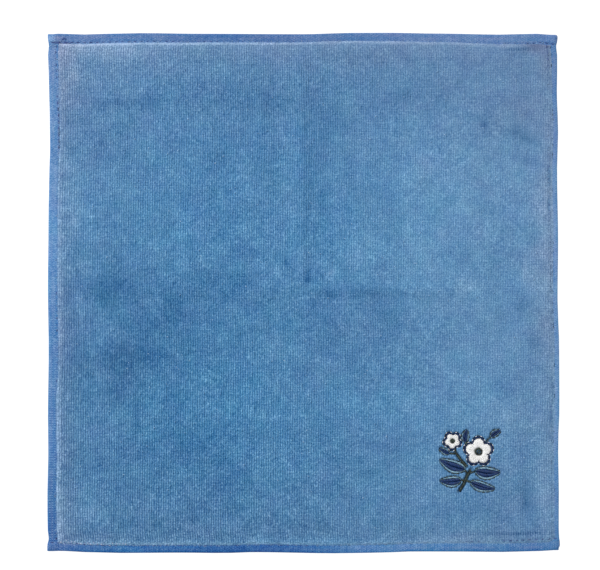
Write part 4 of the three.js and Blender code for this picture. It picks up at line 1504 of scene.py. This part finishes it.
# %% Looped back
LOOP_WIDTH = 1.4
LOOP_LENGTH = 2.6
LOOP_LOW = 0.08
LOOP_HIGH = 0.75
LOOP_DIP = 0.3
LOOP_UNEVEN = 0.12
LOOP_NUDGE = (0.07, 0.16)
LOOP_HEAD = 1.0
HEM_ENDS = (4.2, 4.9, 4.6, 4.1)
BACK_IN = 1.45

loop_x = np.arange(-WIDTH / 2 + HEM_ENDS[0] + BACK_IN, WIDTH / 2 - HEM_ENDS[1] - BACK_IN,
                   LOOP_WIDTH / 2)
loop_y = np.arange(-LENGTH / 2 + HEM_ENDS[2] + BACK_IN, LENGTH / 2 - HEM_ENDS[3] - BACK_IN,
                   LOOP_LENGTH / 2)


def looped_face():
    """Points, faces and shade of the looped face, closed above by a flat head."""
    x, y = np.meshgrid(loop_x, loop_y)
    column = np.arange(len(loop_x))[None, :]
    row = np.arange(len(loop_y))[:, None]
    crest = (column % 2 == 1) & ((row + column // 2) % 2 == 1)
    height = np.where(crest, LOOP_LOW, LOOP_HIGH - LOOP_DIP * (column % 2))
    height = height + rng.uniform(0, LOOP_UNEVEN, x.shape)
    inner = np.zeros(x.shape)
    inner[1:-1, 1:-1] = 1
    x = x + inner * rng.normal(0, LOOP_NUDGE[0], x.shape)
    y = y + inner * rng.normal(0, LOOP_NUDGE[1], x.shape)
    px, py = placed(x, y)
    points, faces = closed_strip(px, py, height, LOOP_HEAD)
    values = {
        # painted highlight on the loop tips and painted shade between them
        "rib_light_and_shade": np.where(crest, 1.0, 0.3) + rng.normal(0, 0.12, x.shape),
        "nap_and_shading": 0.25 * np.sin(x / 31) * np.cos(y / 27) - 0.2,
        "cast": np.full(x.shape, CAST_MIDDLE),
        "grainy": np.ones(x.shape),
        "clumped": np.ones(x.shape),
    }
    return points, [face[::-1] for face in faces], padded(values, len(points) - x.size)


loops = cotton_pile("uncut_cotton_loops", [(0.5, 0.9, 0.26)], [(3.0, 3.0, 0.17)],
                    rib_share=0.15, nap_share=0.16, depth=0.15)
loop_points, loop_faces, loop_values = looped_face()
loop_back = mesh_object("looped_back", loop_points, loop_faces, loops, loop_values)
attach(loop_back, "root")
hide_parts("towel")
print("looped back, rows and columns:", len(loop_y), len(loop_x))

# %% [markdown]
# Thread is a fine tube along a few points, with closed ends. Every stitch on the towel is
# one: the lockstitch of the hems and the satin stitch of the embroidery. Threads of one
# colour are joined in one mesh, which keeps the scene light, and each has a shade of its own,
# as the light takes no two stitches alike.

# %% A thread, and a bundle of threads
THREAD_SIDES = 6
END_THINNER = 0.55
STEEP = 0.8
TINY = 1e-9
SHADE_SPREAD = 0.5


def tube(points, radius):
    """Points and faces of a closed tube along points, thinner at its two ends."""
    points = np.asarray(points, float)
    ahead = np.gradient(points, axis=0)
    ahead /= np.linalg.norm(ahead, axis=1, keepdims=True) + TINY
    helper = np.where(np.abs(ahead[:, 2:3]) > STEEP, [[1.0, 0, 0]], [[0, 0, 1.0]])
    across = np.cross(ahead, helper)
    across /= np.linalg.norm(across, axis=1, keepdims=True) + TINY
    up = np.cross(across, ahead)
    sizes = np.full(len(points), radius, float)
    sizes[[0, -1]] *= END_THINNER
    angles = np.arange(THREAD_SIDES) * 2 * math.pi / THREAD_SIDES
    rings = (points[:, None, :]
             + sizes[:, None, None] * (np.cos(angles)[None, :, None] * across[:, None, :]
                                       + np.sin(angles)[None, :, None] * up[:, None, :]))
    faces = []
    for i in range(len(points) - 1):
        for k in range(THREAD_SIDES):
            a, b = i * THREAD_SIDES + k, i * THREAD_SIDES + (k + 1) % THREAD_SIDES
            faces.append([a, b, b + THREAD_SIDES, a + THREAD_SIDES])
    faces.append(list(range(THREAD_SIDES))[::-1])
    faces.append([(len(points) - 1) * THREAD_SIDES + k for k in range(THREAD_SIDES)])
    return rings.reshape(-1, 3), faces


def thread_bundle(name, threads, material):
    """One mesh of many threads, each given as its points and its radius."""
    points, faces, shades = [], [], []
    first = 0
    for path, radius in threads:
        ring_points, ring_faces = tube(path, radius)
        points.append(ring_points)
        faces.extend([[i + first for i in face] for face in ring_faces])
        shade = 0.5 + SHADE_SPREAD * rng.uniform(-1, 1)
        shades.append(np.full(len(ring_points), shade))
        first += len(ring_points)
    made = mesh_object(name, np.concatenate(points), faces, material,
                       {"shade": np.concatenate(shades)})
    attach(made, "root")
    return made


print("triangles of a thread with six points:", 2 * (5 * THREAD_SIDES + THREAD_SIDES - 2))


# %% [markdown]
# Embroidery thread is rayon, a bright filament twisted from two plies, so it has a soft
# silky gleam along its length. Sewing thread is spun polyester, dull and a little hairy. The
# twist repeats every 0.9 mm on the real thread, and it is drawn as slanting bands of that
# pitch, with small flecks where single filaments stand up.

# %% Thread materials
TWIST = 0.9
TWIST_SLANT = 38
TWIST_SHARE = 0.35
TWIST_DEPTH = 0.05
FLECKS = [(0.5, 0.5, 0.5)]


def thread_finish(name, deep, pale, roughness, sheen):
    """A twisted thread between a deep and a pale shade of its colour."""
    material, tree = new_material(name)
    where = add(tree, "ShaderNodeTexCoord").outputs["Object"]
    shade = add(tree, "ShaderNodeAttribute", {"attribute_name": "shade"}).outputs["Fac"]
    twist = slanting_bands(tree, where, TWIST_SLANT, TWIST, {"Distortion": 0.8})
    total = add_share(tree, shade, twist, TWIST_SHARE)
    total = add_grains(tree, where, total, FLECKS, seed=8.0)
    surfaced(tree, dye_ramp(tree, total, [(0.1, deep), (0.9, pale)]), twist, 0.5, TWIST_DEPTH, {
        "Roughness": roughness, "IOR": 1.5, "Specular IOR Level": 0.4,
        "Sheen Weight": sheen, "Sheen Roughness": 0.4,
    })
    return material


sewing_navy = thread_finish("spun_sewing_thread_dark_blue", "#2c3d74", "#485d98", 0.8, 0.1)
rayon_navy = thread_finish("rayon_thread_navy", "#08254f", "#153c73", 0.42, 0.0)
rayon_teal = thread_finish("rayon_thread_grey_teal", "#749eb8", "#98bccf", 0.42, 0.0)
rayon_olive = thread_finish("rayon_thread_dark_olive", "#1a241f", "#3c4a40", 0.45, 0.0)
rayon_cream = thread_finish("rayon_thread_cream", "#f0f0ec", "#ffffff", 0.42, 0.0)
print("thread materials:", [m.name for m in bpy.data.materials if "thread" in m.name])

# %% [markdown]
# One row of lockstitch runs along each hem, in dark blue. A stitch is 3.11 mm long: it comes
# up through a needle hole, lies on the cloth and goes down at the next hole. Where the pile
# is thick it swallows the thread, so a stitch shows as a short dash, and in some stretches
# only the row of dents shows. The far and near rows run right across to the corners, and at
# the far left corner the far one starts in a small tangle of crossed stitches.

# %% Hem stitches
STITCH_RADIUS = 0.2
SIDE_ROW = 4.2
END_ROW = 0.6
SUNK = [
    # pairs of place along the edge and how far the thread sinks in there
    [(-122, 0.3), (-112, 0.9), (-55, 0.85), (-48, 0.3), (0, 0.25), (3, 0.8), (65, 0.8),
     (70, -0.05), (94, 0.0), (98, 0.25), (118, 0.22), (122, 0.35)],
    [(-122, 0.4), (-66, 0.45), (-64, 0.1), (-54, 0.1), (-50, 0.8), (-30, 0.8), (-25, 0.3),
     (0, 0.3), (5, 0.15), (30, 0.15), (38, 0.2), (66, 0.2), (70, 0.8), (108, 0.8), (112, 0.0),
     (120, 0.0)],
    [(-125, 0.1), (-115, 0.0), (-100, 0.1), (-90, 0.3), (0, 0.4), (40, 0.7), (65, 0.5),
     (78, 0.25), (90, 0.1), (105, -0.05), (121, -0.1)],
    [(-125, 0.0), (-90, 0.15), (-60, 0.3), (-20, 0.4), (30, 0.6), (60, 0.6), (95, 0.45),
     (105, 0.35), (118, 0.1)],
]
STITCH_SHAPE = np.array([
    # share of the length, and height over the middle of the stitch on the front
    (0.0, -0.75), (0.1, -0.6), (0.28, -0.2), (0.5, 0.14), (0.72, -0.1), (0.9, -0.55), (1.0, -0.75),
])
STITCH_LIFT = 0.15
SLANT = 0.12
IN_PILE = 0.2
PILE_SETS_IN = 0.3


def seam_place(side, at):
    """The plain place of points of a seam, given where they are along its edge."""
    axis, sign, _ = EDGES[side]
    across = sign * ((WIDTH, LENGTH)[axis] / 2 - table_value(SEAMS[side], at))
    return (across, at) if side < 2 else (at, across)


def front_rest(x, y):
    """What a stitch rests on: the cloth, or the pile where it runs in the pile."""
    base = cloth_height(x, y, FRONT)
    pile, insides = pile_lip(x, y)
    in_pile = np.minimum.reduce(insides) > PILE_SETS_IN
    return np.where(in_pile, np.maximum(base, pile - IN_PILE), base)


def lockstitch(side, front):
    """All stitches of one row, on the front or the back."""
    half = LENGTH / 2 - SIDE_ROW if side < 2 else WIDTH / 2 - END_ROW
    share, rise = STITCH_SHAPE.T
    threads = []
    for number in range(int(2 * half / STITCH)):
        start = -half + number * STITCH + rng.normal(0, 0.08)
        length = STITCH * rng.uniform(0.93, 1.0)
        x, y = seam_place(side, start + share * length)
        slant = (rng.normal(0, SLANT) + SLANT) * (share - 0.5)
        x, y = (x + slant, y) if side < 2 else (x, y + slant)
        if front:
            sunk = table_value(SUNK[side], start) * rng.uniform(0.5, 1.3)
            z = front_rest(x, y) + rise + STITCH_LIFT - sunk
        else:
            z = np.maximum(cloth_height(x, y, BACK) - rise * 0.5, STITCH_RADIUS + 0.01)
        px, py = placed(x, y)
        threads.append((np.stack([px, py, z], axis=1), STITCH_RADIUS))
    return threads


TANGLE = [
    # start and end of each crossed stitch
    (-122.6, 122.9, -120.2, 122.5),
    (-121.0, 122.3, -118.4, 122.9),
    (-119.6, 123.0, -117.0, 122.4),
    (-118.0, 122.2, -115.2, 122.9),
    (-116.4, 122.9, -113.8, 122.3),
    (-117.2, 125.2, -115.8, 124.2),
    (-118.4, 124.0, -117.0, 124.8),
]
TANGLE_LOW = -0.25
TANGLE_ARCH = 0.45


def tangled(row):
    """One short stitch of the tangle, lying on the band."""
    share = np.linspace(0, 1, 6)
    x = row[0] + share * (row[2] - row[0])
    y = row[1] + share * (row[3] - row[1])
    z = cloth_height(x, y, FRONT) + TANGLE_LOW + TANGLE_ARCH * np.sin(math.pi * share)
    px, py = placed(x, y)
    return np.stack([px, py, z], axis=1), STITCH_RADIUS


hem_threads = [t for side in range(4) for front in (True, False) for t in lockstitch(side, front)]
hem_threads += [tangled(row) for row in TANGLE]
hem_stitches = thread_bundle("hem_stitches", hem_threads, sewing_navy)
print("hem stitches:", len(hem_threads))

# %% [markdown]
# Leaves are satin stitch: close parallel threads that slant from the midrib to the edge, so
# the two halves catch the light differently. Around each navy leaf runs a narrow border in
# grey teal, and outside it a broken line of dark olive running stitch. A printed patch would
# lie flat, so each stitch is a thread of its own that arches over the pressed pile.

# %% Embroidered leaves
SATIN_PITCH = 0.36
SATIN_RADIUS = 0.21
STITCH_FLOOR = 1.9
SATIN_TOP = 2.95
BORDER_SHARE = 0.36
MAX_BORDER = 1.0
MIDRIB = 0.08
SATIN_SLANT = 0.55
BORDER_OVERLAP = 0.12
OUTLINE_OUT = 0.12
DASH = 1.9
DASH_GAP = 1.12


def stitch_path(start, end, rise, steps=5):
    """A thread that comes up at start, arches over by a share of the full rise and goes down
    at end."""
    share = np.linspace(0, 1, steps)
    flat = np.outer(1 - share, start) + np.outer(share, end)
    arch = rise * np.sin(math.pi * share) ** 0.55
    return np.column_stack([flat + SPRAY_AT, STITCH_FLOOR + (SATIN_TOP - STITCH_FLOOR) * arch])


def border_width(leaf, t):
    """Width of a leaf's teal border at a share t of its length."""
    return np.minimum(MAX_BORDER, BORDER_SHARE * leaf_half_width(leaf, t))


def navy_satin(leaf, side, length):
    """Satin threads of one half of a leaf, from the midrib to the border."""
    threads = []
    slant = SATIN_SLANT * leaf[4] / 2 / length
    for t in np.arange(0.05, 0.95, SATIN_PITCH / length):
        tip = min(t + slant, 0.97)
        reach = leaf_half_width(leaf, tip) - border_width(leaf, tip)
        start = leaf_point(leaf, t, -MIDRIB * side)
        end = leaf_point(leaf, tip, side * reach * rng.uniform(0.96, 1.03))
        threads.append((stitch_path(start, end, 0.92, steps=6), SATIN_RADIUS))
    return threads


def teal_border(leaf, side, length):
    """Short threads across the border of one half of a leaf."""
    threads = []
    for t in np.arange(0.02, 0.98, SATIN_PITCH / length):
        outer = side * leaf_half_width(leaf, t)
        hidden = outer - side * (border_width(leaf, t) + BORDER_OVERLAP)
        start = leaf_point(leaf, min(t + 0.02, 1), hidden)
        end = leaf_point(leaf, t, outer * rng.uniform(0.98, 1.04))
        threads.append((stitch_path(start, end, 0.66), SATIN_RADIUS * 0.95))
    return threads


def olive_outline(leaf, side, length):
    """Running stitch along the outside of one half of a leaf."""
    threads = []
    dash = DASH / length
    for t in np.arange(0.0, 1.0 - dash * 0.5, dash * DASH_GAP):
        ends = [t, min(t + dash, 1.0)]
        ends = [leaf_point(leaf, e, side * (leaf_half_width(leaf, e) + OUTLINE_OUT)) for e in ends]
        threads.append((stitch_path(*ends, 0.78), SATIN_RADIUS))
    return threads


threads_of = {"navy": [], "teal": [], "olive": [], "cream": []}
for leaf in LEAVES:
    length = leaf_frame(leaf)[0]
    for side in (-1, 1):
        threads_of["navy"] += navy_satin(leaf, side, length)
        threads_of["teal"] += teal_border(leaf, side, length)
        threads_of["olive"] += olive_outline(leaf, side, length)
print("leaf threads:", {colour: len(threads) for colour, threads in threads_of.items()})

# %% [markdown]
# A blossom is turned satin: its threads fan out from the centre to the rim of five petals.
# They would crowd at the centre, so every second one starts further out. A navy ring of short
# stitches runs round the petals, and round that a dashed ring of running stitch in cream and
# olive. French knots, each a thread wound round the needle, fill the centre.

# %% Embroidered blossoms
KNOT_RADIUS = 0.42
KNOT_THREADS = (0.24, 0.22)
DASH_PITCH = 1.2
RIM_SHARE = 0.86
FAN_STARTS = (CENTRE_SHARE * 0.8, 0.42, CENTRE_SHARE * 0.8, 0.6)


def rim_point(blossom, angle, out=0.0, share=1.0):
    """A point at an angle, so far out past a blossom's rim or at a share of the way there."""
    _, cx, cy, radius, turn = blossom
    reach = (float(petal_reach(radius, turn, angle)) + out) * share
    return np.array([cx + reach * math.cos(angle), cy + reach * math.sin(angle)])


def petal_fan(blossom):
    """Cream threads from the centre to the rim."""
    radius = blossom[3]
    threads = []
    count = int(2 * math.pi * radius * RIM_SHARE / SATIN_PITCH)
    for number in range(count):
        angle = 2 * math.pi * number / count
        ray = np.array([math.cos(angle), math.sin(angle)])
        start = np.array(blossom[1:3]) + ray * radius * FAN_STARTS[number % 4]
        end = rim_point(blossom, angle, out=-0.1, share=rng.uniform(0.985, 1.01))
        threads.append((stitch_path(start, end, 1.0, steps=6), SATIN_RADIUS * 1.05))
    return threads


def navy_ring(blossom):
    """Short navy threads across the rim."""
    threads = []
    count = int(2 * math.pi * blossom[3] / SATIN_PITCH)
    for number in range(count):
        angle = 2 * math.pi * (number + 0.5) / count
        threads.append((stitch_path(rim_point(blossom, angle, out=-0.2),
                                    rim_point(blossom, angle, out=OUTLINE), 0.72),
                        SATIN_RADIUS))
    return threads


def running_ring(blossom):
    """Running stitch round a blossom, outside its navy ring."""
    count = 2 * int(math.pi * (blossom[3] + OUTLINE) / DASH_PITCH)
    threads = []
    for number in range(count):
        ends = [rim_point(blossom, 2 * math.pi * (number + share) / count, out=OUTLINE + 0.25)
                for share in (0.1, 0.9)]
        threads.append((stitch_path(*ends, 0.7), SATIN_RADIUS * 0.9))
    return threads


def knot(cx, cy, z):
    """A French knot: nearly two turns of thread in a small heap."""
    angles = np.linspace(0, 3.4 * math.pi, 13)
    size = KNOT_RADIUS * (1 - 0.5 * angles / angles[-1])
    return np.column_stack([
        cx + SPRAY_AT[0] + size * np.cos(angles), cy + SPRAY_AT[1] + size * np.sin(angles),
        z + 0.28 * angles / angles[-1],
    ])


def knots(blossom):
    """A French knot in the centre and a ring of them round it."""
    _, cx, cy, radius, _ = blossom
    threads = [(knot(cx, cy, SATIN_TOP + 0.05), KNOT_THREADS[0])]
    out = radius * CENTRE_SHARE - KNOT_RADIUS
    count = max(5, int(2 * math.pi * out / (KNOT_RADIUS * 2.1)))
    out = max(out, KNOT_RADIUS * 1.5)
    for number in range(count):
        angle = 2 * math.pi * number / count + 0.3
        top = SATIN_TOP - 0.1 + rng.uniform(-0.05, 0.05)
        threads.append((knot(cx + out * math.cos(angle), cy + out * math.sin(angle), top),
                        KNOT_THREADS[1]))
    return threads


for blossom in BLOSSOMS:
    threads_of["cream"] += petal_fan(blossom)
    threads_of["navy"] += navy_ring(blossom)
    ring = running_ring(blossom)
    threads_of["cream"] += ring[::2]
    threads_of["olive"] += ring[1::2] + knots(blossom)
print("threads with the blossoms:", {c: len(threads) for c, threads in threads_of.items()})

# %% [markdown]
# A stem is a row of short slanting stitches close together, and a stalk is two long ones side
# by side. Then the threads of each colour become one mesh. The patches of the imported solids
# are what the machine would have filled, so the threads take their place.

# %% Embroidered stems, and the four colours of thread
STEM_LOOK = 0.3
STEM_SLANT = 0.35
STALK_OFFSET = 0.17


def stem_threads(points):
    """Short slanting stitches close together along a bent stem."""
    points = np.array(points)
    places = np.concatenate([[0], np.cumsum(np.hypot(*np.diff(points, axis=0).T))])
    half = STEM_WIDTH / 2 - MIDRIB
    threads = []
    for at in np.arange(0.15, places[-1] - 0.1, SATIN_PITCH):
        here, later = [np.array([np.interp(p, places, points[:, k]) for k in (0, 1)])
                       for p in (at, min(at + STEM_LOOK, places[-1]))]
        ahead = (later - here) / (np.hypot(*(later - here)) + TINY)
        across = half * np.array([-ahead[1], ahead[0]]) + STEM_SLANT * ahead
        threads.append((stitch_path(here - across, here + across, 0.85), SATIN_RADIUS))
    return threads


for points in STEMS:
    threads_of["olive"] += stem_threads(points)
for start, end in STALKS:
    for offset in (-STALK_OFFSET, STALK_OFFSET):
        path = stitch_path(np.add(start, offset), np.add(end, offset), 0.8, steps=6)
        threads_of["olive"].append((path, SATIN_RADIUS))

embroidery = [
    (thread_bundle("navy_satin", threads_of["navy"], rayon_navy),
     [f"leaf_{n + 1}" for n in range(len(LEAVES))]),
    (thread_bundle("teal_borders", threads_of["teal"], rayon_teal), []),
    (thread_bundle("cream_petals", threads_of["cream"], rayon_cream),
     ["blossom_large", "blossom_small"]),
    (thread_bundle("olive_stems_and_lines", threads_of["olive"], rayon_olive),
     ["stem", "branch", "centre_large", "centre_small"]),
]
for piece, nodes in embroidery:
    if nodes:
        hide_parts(*nodes)
print("embroidery threads:", {colour: len(threads) for colour, threads in threads_of.items()})

# %% [markdown]
# A used towel carries a little lint, and its sheared edge beside the hems lets go of stray
# fibres. At the left end of the near hem a little pale fluff is caught in the seam. All are
# short bent threads finer than a tenth of a millimetre on the real cloth. They are drawn
# 0.2 to 0.7 mm thick, so that the larger flecks show as pale points as in the photo.

# %% Lint and edge fibres
LINT_COUNT = 420
EDGE_FIBRES = 900
CAUGHT_FROM = -118.0
CAUGHT_TO = -86.0
CLEAR_OF_SPRAY = 1.5
HALF_TURN = 3.2
lint_finish = thread_finish("pale_cotton_fluff", "#6f9fca", "#a3c6e4", 0.95, 0.1)
edge_finish = thread_finish("dyed_cotton_fluff", "#6487ae", "#92afcf", 0.95, 0.1)
caught_finish = thread_finish("pale_caught_fluff", "#93a6cc", "#c3cbe0", 0.95, 0.1)


def pile_height_at(px, py):
    """Height of the pile at the nearest point of its grid."""
    column = np.abs(pile_px[len(row_y) // 2] - px).argmin()
    row = np.abs(pile_py[:, column] - py).argmin()
    return pile_z[row, column]


def curl(px, py, size, turn, bend, lift):
    """A short bent fibre lying on the pile."""
    share = np.linspace(-0.5, 0.5, 4)
    along = share * size
    off = bend * (share * share - 0.25) * size
    c, s = math.cos(turn), math.sin(turn)
    z = pile_height_at(px, py) + lift + 0.04 * np.array([-1, 1, 1, -1])
    return np.column_stack([px + along * c - off * s, py + along * s + off * c, z])


def beside_seam(side, at, inward):
    """The place of a fibre beside a seam, so far inside it."""
    x, y = seam_place(side, np.array([at]))
    axis, sign, _ = EDGES[side]
    px, py = placed(x - sign * inward * (axis == 0), y - sign * inward * (axis == 1))
    return float(px[0]), float(py[0])


lint = []
for _ in range(LINT_COUNT):
    px, py = rng.uniform(-116, 116, 2)
    if spray_distance(np.array([px]), np.array([py]))[0] < CLEAR_OF_SPRAY:
        continue
    lint.append((curl(px, py, rng.uniform(0.3, 0.8), rng.uniform(0, HALF_TURN),
                      rng.uniform(-1.6, 1.6), 0.12), rng.uniform(0.12, 0.24)))
lint_piece = thread_bundle("lint", lint, lint_finish)

fibres = []
for _ in range(EDGE_FIBRES):
    side = int(rng.integers(0, 4))
    axis, sign, _ = EDGES[side]
    px, py = beside_seam(side, rng.uniform(-119, 119), rng.uniform(-0.2, 0.9))
    outward = math.atan2(sign * axis, sign * (1 - axis))
    turn = outward + rng.normal(0, 0.7)
    fibres.append((curl(px, py, rng.uniform(0.6, 1.5), turn, rng.uniform(-1, 1),
                        rng.uniform(-0.3, 0.1)), 0.09))
edge_piece = thread_bundle("edge_fibres", fibres, edge_finish)

caught = []
for at in np.arange(CAUGHT_FROM, CAUGHT_TO, STITCH / 2):
    px, py = beside_seam(2, at + rng.normal(0, 0.25), rng.uniform(0.1, 1.3))
    caught.append((curl(px, py, rng.uniform(0.4, 0.9), rng.uniform(0, HALF_TURN),
                        rng.uniform(-1, 1), 0.1), rng.uniform(0.2, 0.34)))
caught_piece = thread_bundle("fluff_caught_in_seam", caught, caught_finish)
print("lint:", len(lint), "edge fibres:", len(fibres), "caught tufts:", len(caught))

# %% [markdown]
# The whole towel is one sheet, cut 266 x 270 mm. Each hem takes 8 mm of that, turned twice.
# Every other piece lies on the cloth, and they are gathered here in one list.

on_cloth = pile_pieces + [loop_back, hem_stitches, lint_piece, edge_piece, caught_piece]
on_cloth += [piece for piece, _ in embroidery]
